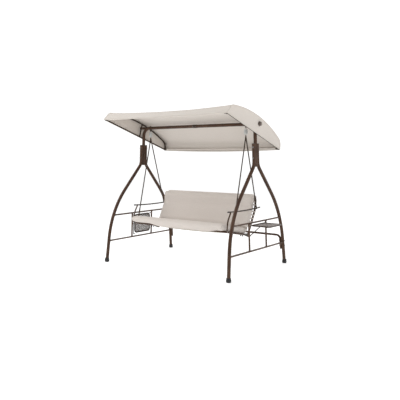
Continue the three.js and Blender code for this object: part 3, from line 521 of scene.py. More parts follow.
@dataclass
class Finishes:
    """Every finish on the bench."""

    kit: ShaderKit
    bronze: bpy.types.Material = field(init=False)
    dark: bpy.types.Material = field(init=False)
    mesh: bpy.types.Material = field(init=False)
    zinc: bpy.types.Material = field(init=False)
    screw: bpy.types.Material = field(init=False)
    black: bpy.types.Material = field(init=False)
    knob: bpy.types.Material = field(init=False)
    knob_cap: bpy.types.Material = field(init=False)
    canvas: bpy.types.Material = field(init=False)
    canvas_trim: bpy.types.Material = field(init=False)
    cushion: bpy.types.Material = field(init=False)
    cushion_trim: bpy.types.Material = field(init=False)
    sling: bpy.types.Material = field(init=False)
    thread: bpy.types.Material = field(init=False)
    floor: bpy.types.Material = field(init=False)

    def __post_init__(self) -> None:
        """Makes every material once."""
        kit = self.kit
        self.bronze = CoatedSteel("bronze_powder_coat", (0.076, 0.038, 0.021),
                                  (0.048, 0.023, 0.013)).make(kit)
        self.dark = CoatedSteel("dark_bronze_powder_coat", (0.044, 0.025, 0.015),
                                (0.030, 0.017, 0.010), worn=(0.15, 0.11, 0.08)).make(kit)
        self.mesh = CoatedSteel("expanded_mesh_coat", (0.185, 0.168, 0.160), (0.150, 0.136, 0.130),
                                roughness=0.5, metallic=0.2, coat=0.05).make(kit)
        self.zinc = BareSteel("zinc_plated_wire", (0.74, 0.76, 0.75)).make(kit)
        self.screw = BareSteel("black_oxide_screws", (0.16, 0.14, 0.13), 0.34, 0.8).make(kit)
        self.black = Moulded("black_moulded_plastic", (0.010, 0.010, 0.011), 0.5, 0.08).make(kit)
        self.knob = Moulded("brown_moulded_plastic", (0.10, 0.075, 0.062), 0.5).make(kit)
        self.knob_cap = Moulded("knob_cap_plastic", (0.19, 0.155, 0.13), 0.42).make(kit)
        self.canvas = Cloth("canopy_canvas", (0.65, 0.60, 0.55), (0.60, 0.55, 0.50)).make(kit)
        self.canvas_trim = Cloth("canopy_binding", (0.60, 0.555, 0.50), (0.54, 0.495, 0.44),
                                 pitch=0.0014).make(kit)
        self.cushion = Cloth("cushion_cover", (0.655, 0.60, 0.555), (0.605, 0.55, 0.505),
                             pitch=0.0026, thread=0.0004, sheen=0.10).make(kit)
        self.cushion_trim = Cloth("cushion_piping", (0.61, 0.555, 0.51), (0.55, 0.50, 0.455),
                                  pitch=0.0015).make(kit)
        self.sling = Cloth("support_cloth", (0.46, 0.42, 0.37), (0.40, 0.36, 0.31),
                           pitch=0.004, thread=0.0006, sheen=0.05).make(kit)
        self.thread = Cloth("sewing_thread", (0.62, 0.56, 0.49), (0.54, 0.48, 0.42),
                            pitch=0.0008, thread=0.0001).make(kit)
        self.floor = self._floor()

    @staticmethod
    def _floor() -> bpy.types.Material:
        """A plain pale studio floor."""
        work = Finisher("studio_floor", (0.80, 0.80, 0.80))
        work.shader.inputs["Roughness"].default_value = 0.8
        work.shader.inputs["Specular IOR Level"].default_value = 0.1
        work.shader.inputs["Emission Color"].default_value = (1.0, 1.0, 1.0, 1.0)
        work.shader.inputs["Emission Strength"].default_value = 0.44
        return work.material


# ------------------------------------------------------------------------------ mesh making


def link(piece: bpy.types.Object) -> bpy.types.Object:
    """Puts an object in the scene."""
    bpy.context.scene.collection.objects.link(piece)
    return piece


def finish_mesh(mesh: bpy.types.Mesh, sharp: float = 38.0) -> None:
    """Smooths a mesh and keeps edges over an angle in degrees sharp."""
    mesh.polygons.foreach_set("use_smooth", np.ones(len(mesh.polygons), bool))
    mesh.set_sharp_from_angle(angle=math.radians(sharp))
    mesh.update()


def rounded(corners: Sequence[tuple[Vector, float]], bend: float = 5.0) -> Line:
    """A polyline whose inner corners are rounded.

    Args:
        corners: each corner's place and radius; the radius of the first and last is not used.
        bend: the most that one step may turn, in degrees.

    Returns:
        The points of the line.
    """
    line: Line = []
    for i, (corner, radius) in enumerate(corners):
        if i in (0, len(corners) - 1) or radius <= 0:
            line.append(corner.copy())
            continue
        back = (corners[i - 1][0] - corner).normalized()
        ahead = (corners[i + 1][0] - corner).normalized()
        half = back.angle(ahead) / 2
        turn = math.pi - 2 * half
        centre = corner + (back + ahead).normalized() * (radius / math.sin(half))
        start = corner + back * (radius / math.tan(half)) - centre
        axis = ahead.cross(back).normalized()
        pieces = max(3, math.ceil(math.degrees(turn) / bend))
        line += [Matrix.Rotation(turn * k / pieces, 3, axis) @ start + centre
                 for k in range(pieces + 1)]
    return line


def resampled(line: Sequence[Vector], step: float) -> Line:
    """A line's points again, about a step apart."""
    points = np.array([tuple(p) for p in line])
    along = np.concatenate([[0], np.cumsum(np.linalg.norm(np.diff(points, axis=0), axis=1))])
    count = max(2, round(along[-1] / step) + 1)
    at = np.linspace(0, along[-1], count)
    spaced = np.stack([np.interp(at, along, points[:, k]) for k in range(3)], axis=1)
    return [Vector(p) for p in spaced]


def oval(width: float, height: float, sides: int = 16, power: float = 2.0) -> list[tuple[float, float]]:
    """A closed section: an ellipse, or squarer for a power over 2."""
    section = []
    for k in range(sides):
        angle = 2 * math.pi * k / sides
        c, s = math.cos(angle), math.sin(angle)
        section.append((math.copysign(abs(c) ** (2 / power), c) * width / 2,
                        math.copysign(abs(s) ** (2 / power), s) * height / 2))
    return section


class Shape:
    """Faces gathered into one mesh, each with the number of its finish."""

    def __init__(self) -> None:
        """Starts with no faces."""
        self.points: list[tuple[float, float, float]] = []
        self.faces: list[tuple[int, ...]] = []
        self.finishes: list[int] = []

    def add(self, points: Iterable[Sequence[float]], faces: Iterable[Sequence[int]],
            finish: int = 0) -> None:
        """Adds points and the faces between them."""
        first = len(self.points)
        self.points += [tuple(p) for p in points]
        for face in faces:
            self.faces.append(tuple(first + k for k in face))
            self.finishes.append(finish)

    def rings(self, rings: Sequence[Sequence[Vector]], closed: bool = False, caps: bool = True,
              finish: int = 0) -> None:
        """Skins rings of equal length.

        Args:
            rings: the rings in order.
            closed: whether the last ring joins the first.
            caps: whether the open ends get faces.
            finish: the finish's number.
        """
        sides = len(rings[0])
        count = len(rings)
        faces: list[tuple[int, ...]] = []
        for i in range(count if closed else count - 1):
            a, b = i * sides, (i + 1) % count * sides
            faces += [(a + k, a + (k + 1) % sides, b + (k + 1) % sides, b + k) for k in range(sides)]
        if caps and not closed:
            faces.append(tuple(reversed(range(sides))))
            faces.append(tuple((count - 1) * sides + k for k in range(sides)))
        self.add([p for ring in rings for p in ring], faces, finish)

    def lathe(self, profile: Sequence[tuple[float, float]], at: Vector, along: Vector,
              sides: int = 32, finish: int = 0,
              flute: Callable[[float, float], float] | None = None) -> None:
        """Turns a profile about an axis.

        Args:
            profile: (radius, distance along) pairs; the ends are closed.
            at: where the profile's distances start.
            along: the axis.
            sides: facets round the axis.
            finish: the finish's number.
            flute: radius factor from (angle, distance along), for ribs and grips.
        """
        turn = UP.rotation_difference(along.normalized())
        rings = []
        for radius, height in profile:
            ring = []
            for k in range(sides):
                angle = 2 * math.pi * k / sides
                r = max(radius, 1e-5) * (flute(angle, height) if flute else 1.0)
                ring.append(at + turn @ Vector((r * math.cos(angle), r * math.sin(angle), height)))
            rings.append(ring)
        self.rings(rings, finish=finish)

    def sweep(self, line: Sequence[Vector], section: Sequence[tuple[float, float]], hint: Vector = UP,
              closed: bool = False, finish: int = 0,
              scale: Callable[[float], float] | None = None) -> None:
        """Carries a section along a line.

        Args:
            line: the middle of the sweep.
            section: points across (sideways, towards the hint).
            hint: the direction that the section's second axis leans to.
            closed: whether the line is a loop.
            finish: the finish's number.
            scale: the section's factor at a share of the line.
        """
        count = len(line)
        rings = []
        for i, point in enumerate(line):
            before = line[i - 1] if i or closed else point
            after = line[(i + 1) % count] if i < count - 1 or closed else point
            way = (after - before).normalized()
            side = way.cross(hint)
            if side.length < 1e-4:
                side = way.cross(BACKWARD)
            side.normalize()
            lift = side.cross(way).normalized()
            factor = scale(i / max(count - 1, 1)) if scale else 1.0
            rings.append([point + (side * a + lift * b) * factor for a, b in section])
        self.rings(rings, closed=closed, finish=finish)

    def plate(self, outline: Sequence[Vector], through: Vector, bevel: float = 0.0008,
              finish: int = 0) -> None:
        """A flat plate with eased edges.

        Args:
            outline: its corners in order.
            through: from one face to the other.
            bevel: how far the edges are eased.
            finish: the finish's number.
        """
        middle = sum(outline, Vector()) / len(outline)
        way = through.normalized()
        rings = []
        for share, inset in ((0.0, bevel), (bevel, 0.0), (through.length - bevel, 0.0),
                             (through.length, bevel)):
            ring = []
            for corner in outline:
                inward = middle - corner
                ring.append(corner + inward.normalized() * inset + way * share)
            rings.append(ring)
        self.rings(rings, finish=finish)

    def to_object(self, name: str, materials: Sequence[bpy.types.Material], sharp: float = 38.0,
                  merge: float = 1e-6) -> bpy.types.Object:
        """Makes the gathered faces an object, with faces outward.

        Args:
            name: the object's name.
            materials: the finishes, in the order of their numbers.
            sharp: edges over this many degrees stay sharp.
            merge: points nearer than this become one.

        Returns:
            The object, in the scene.
        """
        mesh = bpy.data.meshes.new(name)
        mesh.from_pydata(self.points, [], self.faces)
        mesh.polygons.foreach_set("material_index", self.finishes)
        for material in materials:
            mesh.materials.append(material)
        edit = bmesh.new()
        edit.from_mesh(mesh)
        bmesh.ops.remove_doubles(edit, verts=edit.verts, dist=merge)
        bmesh.ops.dissolve_degenerate(edit, dist=1e-7, edges=edit.edges)
        bmesh.ops.recalc_face_normals(edit, faces=edit.faces)
        edit.to_mesh(mesh)
        edit.free()
        finish_mesh(mesh, sharp)
        return link(bpy.data.objects.new(name, mesh))


# ------------------------------------------------------------------------------ geometry nodes


class Recipe:
    """A Geometry Nodes tree made in code, with named inputs, that bakes to a plain mesh."""

    def __init__(self, name: str, inputs: dict[str, float | int | None]) -> None:
        """Makes the tree with a Geometry input, the named sizes and a Finish material.

        Args:
            name: the tree's name.
            inputs: each size's name and default; a whole number makes an integer input.
        """
        self.tree = bpy.data.node_groups.new(name, "GeometryNodeTree")
        face = self.tree.interface
        face.new_socket(name="Geometry", in_out="INPUT", socket_type="NodeSocketGeometry")
        self.keys: dict[str, str] = {}
        for key, default in inputs.items():
            kind = "NodeSocketInt" if isinstance(default, int) else "NodeSocketFloat"
            socket = face.new_socket(name=key, in_out="INPUT", socket_type=kind)
            socket.default_value = default
            self.keys[key] = socket.identifier
        finish = face.new_socket(name="Finish", in_out="INPUT", socket_type="NodeSocketMaterial")
        self.keys["Finish"] = finish.identifier
        face.new_socket(name="Geometry", in_out="OUTPUT", socket_type="NodeSocketGeometry")
        self.entry = self.tree.nodes.new("NodeGroupInput")
        self.exit = self.tree.nodes.new("NodeGroupOutput")

    def size(self, key: str) -> bpy.types.NodeSocket:
        """A named input's socket."""
        return self.entry.outputs[key]

    def node(self, kind: str, *links: tuple[str | int, object], **settings: object) -> bpy.types.Node:
        """A new node.

        Args:
            kind: its type.
            links: (input, socket or plain value) pairs.
            settings: its properties.

        Returns:
            The node.
        """
        made = self.tree.nodes.new(kind)
        for key, value in settings.items():
            setattr(made, key, value)
        for key, value in links:
            if isinstance(value, bpy.types.NodeSocket):
                self.tree.links.new(value, made.inputs[key])
            else:
                made.inputs[key].default_value = value
        return made

    def maths(self, operation: str, *terms: object) -> bpy.types.NodeSocket:
        """The result of a Math node on sockets or plain numbers."""
        return self.node("ShaderNodeMath", *enumerate(terms), operation=operation).outputs[0]

    def finish(self, geometry: bpy.types.NodeSocket) -> None:
        """Ends the tree: instances made real, smooth shading, and the finish set."""
        real = self.node("GeometryNodeRealizeInstances", ("Geometry", geometry))
        smooth = self.node("GeometryNodeSetShadeSmooth", ("Geometry", real.outputs[0]))
        dressed = self.node("GeometryNodeSetMaterial", ("Geometry", smooth.outputs[0]),
                            ("Material", self.size("Finish")))
        self.tree.links.new(dressed.outputs[0], self.exit.inputs[0])

    def bake(self, name: str, source: bpy.types.Mesh, finish: bpy.types.Material, sharp: float = 38.0,
             **values: float) -> bpy.types.Object:
        """Runs the tree on a source mesh and keeps the result as a plain mesh.

        Args:
            name: the new object's name.
            source: points or edges that the tree works on.
            finish: the material.
            sharp: edges over this many degrees stay sharp.
            values: the sizes, whose names have _ for a space.

        Returns:
            The object, in the scene.
        """
        raw = link(bpy.data.objects.new(name + "_source", source))
        modifier = raw.modifiers.new(self.tree.name, "NODES")
        modifier.node_group = self.tree
        modifier[self.keys["Finish"]] = finish
        for key, value in values.items():
            modifier[self.keys[key.replace("_", " ")]] = value
        depsgraph = bpy.context.evaluated_depsgraph_get()
        baked = bpy.data.meshes.new_from_object(raw.evaluated_get(depsgraph), depsgraph=depsgraph)
        bpy.data.objects.remove(raw)
        baked.name = name
        finish_mesh(baked, sharp)
        return link(bpy.data.objects.new(name, baked))


def edges_of(lines: Sequence[Sequence[Vector]], closed: bool = False) -> bpy.types.Mesh:
    """A source mesh of edges along lines.

    Args:
        lines: the lines.
        closed: whether each line is a loop.

    Returns:
        The mesh.
    """
    points: list[Vector] = []
    edges: list[tuple[int, int]] = []
    for line in lines:
        first = len(points)
        points += list(line)
        edges += [(first + k, first + k + 1) for k in range(len(line) - 1)]
        if closed:
            edges.append((len(points) - 1, first))
    mesh = bpy.data.meshes.new("line_source")
    mesh.from_pydata([tuple(p) for p in points], edges, [])
    return mesh


def spots_of(spots: Sequence[tuple[Vector, Vector]]) -> bpy.types.Mesh:
    """A source mesh of points, each with a facing direction.

    Args:
        spots: (place, direction) pairs.

    Returns:
        The mesh, with a facing attribute.
    """
    mesh = bpy.data.meshes.new("spot_source")
    mesh.from_pydata([tuple(place) for place, _ in spots], [], [])
    facing = mesh.attributes.new("facing", "FLOAT_VECTOR", "POINT")
    facing.data.foreach_set("vector", [c for _, way in spots for c in way.normalized()])
    return mesh


def tube_recipe() -> Recipe:
    """Round tube along edges."""
    recipe = Recipe("round_tube", {"Diameter": 0.02, "Sides": 24})
    curve = recipe.node("GeometryNodeMeshToCurve", ("Mesh", recipe.entry.outputs["Geometry"]))
    radius = recipe.maths("MULTIPLY", recipe.size("Diameter"), 0.5)
    ring = recipe.node("GeometryNodeCurvePrimitiveCircle", ("Resolution", recipe.size("Sides")),
                       ("Radius", radius))
    skin = recipe.node("GeometryNodeCurveToMesh", ("Curve", curve.outputs[0]),
                       ("Profile Curve", ring.outputs[0]), ("Fill Caps", True))
    recipe.finish(skin.outputs[0])
    return recipe


def facing_rotation(recipe: Recipe) -> bpy.types.NodeSocket:
    """The rotation that turns Z to each point's facing attribute."""
    facing = recipe.node("GeometryNodeInputNamedAttribute", ("Name", "facing"),
                         data_type="FLOAT_VECTOR")
    turn = recipe.node("FunctionNodeAlignRotationToVector", ("Vector", facing.outputs["Attribute"]),
                       axis="Z")
    return turn.outputs[0]


def bolt_recipe() -> Recipe:
    """Hexagon bolt heads with washers, standing on points."""
    recipe = Recipe("hex_bolt", {"Head": 0.013, "Height": 0.005})
    half = recipe.maths("MULTIPLY", recipe.size("Head"), 0.5)
    height = recipe.size("Height")

    def drum(sides: int, radius: float, top: float, low: float, deep: float) -> bpy.types.NodeSocket:
        """A turned piece: radii as shares of half the head, heights as shares of the height."""
        made = recipe.node("GeometryNodeMeshCone", ("Vertices", sides),
                           ("Radius Bottom", recipe.maths("MULTIPLY", half, radius)),
                           ("Radius Top", recipe.maths("MULTIPLY", half, top)),
                           ("Depth", recipe.maths("MULTIPLY", height, deep)))
        lift = recipe.node("ShaderNodeCombineXYZ", ("Z", recipe.maths("MULTIPLY", height, low)))
        moved = recipe.node("GeometryNodeTransform", ("Geometry", made.outputs[0]),
                            ("Translation", lift.outputs[0]))
        return moved.outputs[0]

    joined = recipe.node("GeometryNodeJoinGeometry")
    for part in (drum(6, 1.0, 1.0, 0.2, 0.6), drum(6, 1.0, 0.78, 0.8, 0.2),
                 drum(20, 1.42, 1.34, 0.0, 0.22), drum(12, 0.5, 0.42, 1.0, 0.12)):
        recipe.tree.links.new(part, joined.inputs[0])
    placed = recipe.node("GeometryNodeInstanceOnPoints", ("Points", recipe.entry.outputs["Geometry"]),
                         ("Instance", joined.outputs[0]), ("Rotation", facing_rotation(recipe)))
    recipe.finish(placed.outputs[0])
    return recipe


def screw_recipe() -> Recipe:
    """Small domed screws with a hexagon socket, standing on points."""
    recipe = Recipe("domed_screw", {"Head": 0.008, "Height": 0.003})
    half = recipe.maths("MULTIPLY", recipe.size("Head"), 0.5)
    dome = recipe.node("GeometryNodeMeshUVSphere", ("Segments", 12), ("Rings", 6), ("Radius", half))
    share = recipe.maths("DIVIDE", recipe.size("Height"), half)
    squash = recipe.node("ShaderNodeCombineXYZ", ("X", 1.0), ("Y", 1.0), ("Z", share))
    low = recipe.node("GeometryNodeTransform", ("Geometry", dome.outputs[0]),
                      ("Scale", squash.outputs[0]))
    socket = recipe.node("GeometryNodeMeshCone", ("Vertices", 6),
                         ("Radius Bottom", recipe.maths("MULTIPLY", half, 0.42)),
                         ("Radius Top", recipe.maths("MULTIPLY", half, 0.36)),
                         ("Depth", recipe.maths("MULTIPLY", recipe.size("Height"), 1.12)))
    joined = recipe.node("GeometryNodeJoinGeometry")
    for part in (low.outputs[0], socket.outputs[0]):
        recipe.tree.links.new(part, joined.inputs[0])
    placed = recipe.node("GeometryNodeInstanceOnPoints", ("Points", recipe.entry.outputs["Geometry"]),
                         ("Instance", joined.outputs[0]), ("Rotation", facing_rotation(recipe)))
    recipe.finish(placed.outputs[0])
    return recipe


def stitch_recipe() -> Recipe:
    """Sewn stitches: short thread capsules along edges, with a fixed seed for their varied size."""
    recipe = Recipe("sewn_stitches", {"Spacing": 0.009, "Length": 0.0055, "Thread": 0.0011, "Seed": 7})
    curve = recipe.node("GeometryNodeMeshToCurve", ("Mesh", recipe.entry.outputs["Geometry"]))
    points = recipe.node("GeometryNodeCurveToPoints", ("Curve", curve.outputs[0]),
                         ("Length", recipe.size("Spacing")), mode="LENGTH")
    capsule = recipe.node("GeometryNodeMeshUVSphere", ("Segments", 6), ("Rings", 4), ("Radius", 0.5))
    size = recipe.node("ShaderNodeCombineXYZ", ("X", recipe.size("Thread")),
                       ("Y", recipe.size("Thread")), ("Z", recipe.size("Length")))
    slim = recipe.node("GeometryNodeTransform", ("Geometry", capsule.outputs[0]),
                       ("Scale", size.outputs[0]))
    lie = recipe.node("FunctionNodeAlignRotationToVector", ("Vector", points.outputs["Tangent"]),
                      axis="Z")
    vary = recipe.node("FunctionNodeRandomValue", (2, 0.88), (3, 1.12), ("Seed", recipe.size("Seed")),
                       data_type="FLOAT")
    placed = recipe.node("GeometryNodeInstanceOnPoints", ("Points", points.outputs["Points"]),
                         ("Instance", slim.outputs[0]), ("Rotation", lie.outputs[0]),
                         ("Scale", vary.outputs[1]))
    recipe.finish(placed.outputs[0])
    return recipe


def weld_recipe() -> Recipe:
    """Weld beads: rings round points, their ripple given by noise."""
    recipe = Recipe("weld_bead", {"Ring": 0.02, "Bead": 0.003, "Ripple": 0.0007})
    half = recipe.maths("MULTIPLY", recipe.size("Ring"), 0.5)
    ring = recipe.node("GeometryNodeCurvePrimitiveCircle", ("Resolution", 32), ("Radius", half))
    bead = recipe.node("GeometryNodeCurvePrimitiveCircle", ("Resolution", 6),
                       ("Radius", recipe.maths("MULTIPLY", recipe.size("Bead"), 0.5)))
    skin = recipe.node("GeometryNodeCurveToMesh", ("Curve", ring.outputs[0]),
                       ("Profile Curve", bead.outputs[0]))
    placed = recipe.node("GeometryNodeInstanceOnPoints", ("Points", recipe.entry.outputs["Geometry"]),
                         ("Instance", skin.outputs[0]), ("Rotation", facing_rotation(recipe)))
    real = recipe.node("GeometryNodeRealizeInstances", ("Geometry", placed.outputs[0]))
    rough = recipe.node("ShaderNodeTexNoise", ("Scale", 240.0), ("Detail", 1.0))
    centred = recipe.node("ShaderNodeVectorMath", (0, rough.outputs["Color"]),
                          (1, (0.5, 0.5, 0.5)), operation="SUBTRACT")
    shift = recipe.node("ShaderNodeVectorMath", (0, centred.outputs[0]),
                        ("Scale", recipe.maths("MULTIPLY", recipe.size("Ripple"), 4.0)),
                        operation="SCALE")
    rippled = recipe.node("GeometryNodeSetPosition", ("Geometry", real.outputs[0]),
                          ("Offset", shift.outputs[0]))
    recipe.finish(rippled.outputs[0])
    return recipe


def coil_recipe() -> Recipe:
    """Wound springs: one coil on each point, its length along the facing direction."""
    recipe = Recipe("wound_spring", {"Coil": 0.03, "Wire": 0.004, "Length": 0.05, "Turns": 10.0,
                                     "Steps": 16, "Wire Sides": 8})
    mean = recipe.maths("MULTIPLY", recipe.maths("SUBTRACT", recipe.size("Coil"),
                                                 recipe.size("Wire")), 0.5)
    spiral = recipe.node("GeometryNodeCurveSpiral", ("Resolution", recipe.size("Steps")),
                         ("Rotations", recipe.size("Turns")), ("Start Radius", mean),
                         ("End Radius", mean), ("Height", recipe.size("Length")))
    wire = recipe.node("GeometryNodeCurvePrimitiveCircle", ("Resolution", recipe.size("Wire Sides")),
                       ("Radius", recipe.maths("MULTIPLY", recipe.size("Wire"), 0.5)))
    skin = recipe.node("GeometryNodeCurveToMesh", ("Curve", spiral.outputs[0]),
                       ("Profile Curve", wire.outputs[0]), ("Fill Caps", True))
    placed = recipe.node("GeometryNodeInstanceOnPoints", ("Points", recipe.entry.outputs["Geometry"]),
                         ("Instance", skin.outputs[0]), ("Rotation", facing_rotation(recipe)))
    recipe.finish(placed.outputs[0])
    return recipe


def strand_recipe() -> Recipe:
    """Flat strands of expanded metal along edges."""
    recipe = Recipe("expanded_strands", {"Width": 0.0018, "Thickness": 0.0012})
    curve = recipe.node("GeometryNodeMeshToCurve", ("Mesh", recipe.entry.outputs["Geometry"]))
    bar = recipe.node("GeometryNodeCurvePrimitiveQuadrilateral", ("Width", recipe.size("Width")),
                      ("Height", recipe.size("Thickness")))
    skin = recipe.node("GeometryNodeCurveToMesh", ("Curve", curve.outputs[0]),
                       ("Profile Curve", bar.outputs[0]), ("Fill Caps", True))
    recipe.finish(skin.outputs[0])
    return recipe


@dataclass
class Recipes:
    """Every Geometry Nodes tree on the bench."""

    tube: Recipe = field(default_factory=tube_recipe)
    bolt: Recipe = field(default_factory=bolt_recipe)
    screw: Recipe = field(default_factory=screw_recipe)
    stitch: Recipe = field(default_factory=stitch_recipe)
    weld: Recipe = field(default_factory=weld_recipe)
    coil: Recipe = field(default_factory=coil_recipe)
    strand: Recipe = field(default_factory=strand_recipe)


# ------------------------------------------------------------------------------ the bench's frame


@dataclass
class Shop:
    """What every sub-assembly works with: the frame, the finishes and the recipes."""

    frame: dict
    finishes: Finishes
    recipes: Recipes
    middle: Vector = field(init=False)
    beam_z: float = field(init=False)
    joints: dict[str, dict] = field(init=False)

    def __post_init__(self) -> None:
        """Reads the middle of the stand and the crossbeam's height from the canopy's pivot."""
        self.joints = {joint["name"]: joint for joint in self.frame["joints"]}
        pivot = self.joints["canopy_tilt"]["pos_m"]
        self.middle = Vector((pivot[0], pivot[1], 0.0))
        self.beam_z = pivot[2]

    def at(self, x: float, y: float, z: float) -> Vector:
        """A point given from the middle of the stand, on the floor."""
        return self.middle + Vector((x, y, z))

    def joint_at(self, name: str) -> Vector:
        """Where a joint sits."""
        return Vector(self.joints[name]["pos_m"])

    def ship(self, piece: bpy.types.Object, body: str, slot: Slot, *nodes: str) -> bpy.types.Object:
        """Hands a finished piece over: puts it on its body and hides the CAD nodes it stands for.

        Args:
            piece: the finished piece.
            body: the body it rides on.
            slot: not used.
            nodes: the CAD nodes that it replaces.

        Returns:
            The piece.
        """
        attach(piece, body)
        if nodes:
            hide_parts(*nodes)
        LOG.info("%s on %s: %d faces", piece.name, body, len(piece.data.polygons))
        return piece

    def tubes(self, name: str, lines: Sequence[Line], diameter: float, finish: bpy.types.Material,
              closed: bool = False, sides: int = 24) -> bpy.types.Object:
        """Round tube along lines, as one plain mesh."""
        return self.recipes.tube.bake(name, edges_of(lines, closed), finish, sharp=50.0,
                                      Diameter=diameter, Sides=sides)


# ------------------------------------------------------------------------------ stand


@dataclass
class Stand:
    """The tubular stand: bowed legs, ladder sides, crossbeam, stretcher, feet and bolts."""

    shop: Shop
    foot_x: float = 0.874
    foot_y: float = 0.600
    lean: float = math.radians(2.4)
    leg_d: float = 0.038
    leg_top: float = 1.396
    leg_gap: float = 0.0383
    spread_z: float = 1.165
    spread_r: float = 0.12
    slope: float = math.radians(42)
    knee_r: float = 1.0
    shin: float = math.radians(6)
    leg_end: float = 0.012
    post_bottom: float = 1.150
    bend_r: float = 0.10
    sleeve_half: float = 0.030
    rail_d: float = 0.0195
    rail_z: tuple[float, float] = (0.555, 0.252)
    upright_d: float = 0.020
    upright_y: float = 0.180
    stretcher_d: float = 0.025
    stretcher_z: float = 0.335
    stretcher_end: float = 0.175
    stretcher_r: float = 0.050
    bolt_z: tuple[float, float] = (1.242, 1.361)
    stub_d: float = 0.030
    stub_inner: float = 0.742

    def side_x(self, height: float) -> float:
        """How far out a side frame stands at a height."""
        return self.foot_x - math.tan(self.lean) * height

    def on_side(self, side: Side, y: float, length: float, out: float = 0.0) -> Vector:
        """A point of a side frame, by its distance up the leaning frame.

        Args:
            side: which side.
            y: depth.
            length: distance up the frame.
            out: distance outward from the frame's plane.

        Returns:
            The point in the row frame.
        """
        c, s = math.cos(self.lean), math.sin(self.lean)
        return self.shop.at(side.sign * (self.foot_x - s * length + c * out), y, c * length + s * out)

    def leg_line(self) -> list[tuple[float, float]]:
        """A leg's centreline as (distance from the middle, distance up the frame)."""
        shin, thigh = math.tan(self.shin), math.tan(self.slope)
        rise = (self.foot_y - self.leg_gap - thigh * (self.spread_z - self.leg_end)) / (shin - thigh)
        corners = [(Vector((0, self.leg_gap, self.leg_top)), 0.0),
                   (Vector((0, self.leg_gap, self.spread_z)), self.spread_r),
                   (Vector((0, self.foot_y - shin * rise, self.leg_end + rise)), self.knee_r),
                   (Vector((0, self.foot_y, self.leg_end)), 0.0)]
        return [(p.y, p.z) for p in rounded(corners, 3.0)]

    def leg_y(self, height: float) -> float:
        """How far a leg's centreline stands from the middle at a height."""
        line = self.leg_line()[::-1]
        return float(np.interp(height, [z for _, z in line], [y for y, _ in line]))

    def legs(self) -> None:
        """The four bowed legs."""
        for side in Side:
            for end in End:
                line = [self.on_side(side, end.sign * y, z) for y, z in self.leg_line()]
                leg = self.shop.tubes(f"bowed_leg_{end.word}_{side.word}", [line], self.leg_d,
                                      self.shop.finishes.bronze, sides=32)
                self.shop.ship(leg, "stand", Slot.BRONZE, f"leg_{end.word}_{side.word}")

    def feet(self) -> None:
        """Round moulded feet with a collar, ribs and a ringed sole."""
        profile = [(0.0, 0.0), (0.010, 0.0), (0.0105, 0.0012), (0.0135, 0.0012), (0.014, 0.0),
                   (0.019, 0.0), (0.0235, 0.0035), (0.0262, 0.009), (0.027, 0.016), (0.027, 0.023),
                   (0.0262, 0.029), (0.0248, 0.0345), (0.0236, 0.0365), (0.0236, 0.038),
                   (0.0246, 0.0392), (0.0246, 0.0442), (0.0238, 0.046), (0.0196, 0.046),
                   (0.0196, 0.040), (0.0, 0.040)]

        def ribs(angle: float, height: float) -> float:
            """Shallow grip ribs round the ball."""
            return 1 + 0.012 * math.cos(14 * angle) * (0.006 < height < 0.034)

        for side in Side:
            for end in End:
                low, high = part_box(f"foot_{end.word}_{side.word}")
                at = Vector(((low.x + high.x) / 2, (low.y + high.y) / 2, 0.0))
                ball = Shape()
                ball.lathe(profile, at, UP, sides=56, flute=ribs)
                piece = ball.to_object(f"moulded_foot_{end.word}_{side.word}",
                                       [self.shop.finishes.black])
                self.shop.ship(piece, "stand", Slot.BLACK, f"foot_{end.word}_{side.word}")

    def plugs(self) -> None:
        """Domed plugs in the tops of the legs."""
        r = self.leg_d / 2
        profile = [(0.0, -0.002), (r - 0.002, -0.002), (r - 0.002, 0.0002), (r + 0.0005, 0.0003),
                   (r + 0.0007, 0.0014), (r + 0.0002, 0.0028), (r - 0.002, 0.0048),
                   (r - 0.007, 0.0064), (r - 0.013, 0.007), (0.0, 0.0072)]
        for side in Side:
            axis = (self.on_side(side, 0, 1) - self.on_side(side, 0, 0)).normalized()
            for end in End:
                plug = Shape()
                plug.lathe(profile, self.on_side(side, end.sign * self.leg_gap, self.leg_top), axis)
                piece = plug.to_object(f"domed_plug_{end.word}_{side.word}",
                                       [self.shop.finishes.black])
                self.shop.ship(piece, "stand", Slot.BLACK, f"leg_plug_{end.word}_{side.word}")

    def ladders(self) -> None:
        """Two rails and two uprights between the legs of each side, welded where they meet."""
        shop = self.shop
        beads: list[tuple[Vector, Vector]] = []
        for side in Side:
            for word, height in zip(("upper", "lower"), self.rail_z):
                reach = self.leg_y(height)
                line = [self.on_side(side, y, height) for y in (-reach, reach)]
                rail = shop.tubes(f"smooth_rail_{word}_{side.word}", [line], self.rail_d,
                                  shop.finishes.bronze)
                shop.ship(rail, "stand", Slot.BRONZE, f"{word}_rail_{side.word}")
                for end in End:
                    at = self.on_side(side, end.sign * (reach - self.leg_d / 2 - 0.0006), height)
                    beads.append((at, BACKWARD))
            up = (self.on_side(side, 0, 1) - self.on_side(side, 0, 0)).normalized()
            for end in End:
                y = end.sign * self.upright_y
                line = [self.on_side(side, y, z) for z in self.rail_z[::-1]]
                post = shop.tubes(f"smooth_upright_{end.word}_{side.word}", [line], self.upright_d,
                                  shop.finishes.bronze)
                shop.ship(post, "stand", Slot.BRONZE, f"upright_{end.word}_{side.word}")
                for height, way in zip(self.rail_z, (-1, 1)):
                    lift = way * self.rail_d * 0.38
                    beads.append((self.on_side(side, y, height + lift), up))
        weld = shop.recipes.weld.bake("ladder_welds", spots_of(beads), shop.finishes.bronze, 80.0,
                                      Ring=self.rail_d + 0.0035, Bead=0.0042, Ripple=0.0006)
        shop.ship(weld, "stand", Slot.BRONZE)

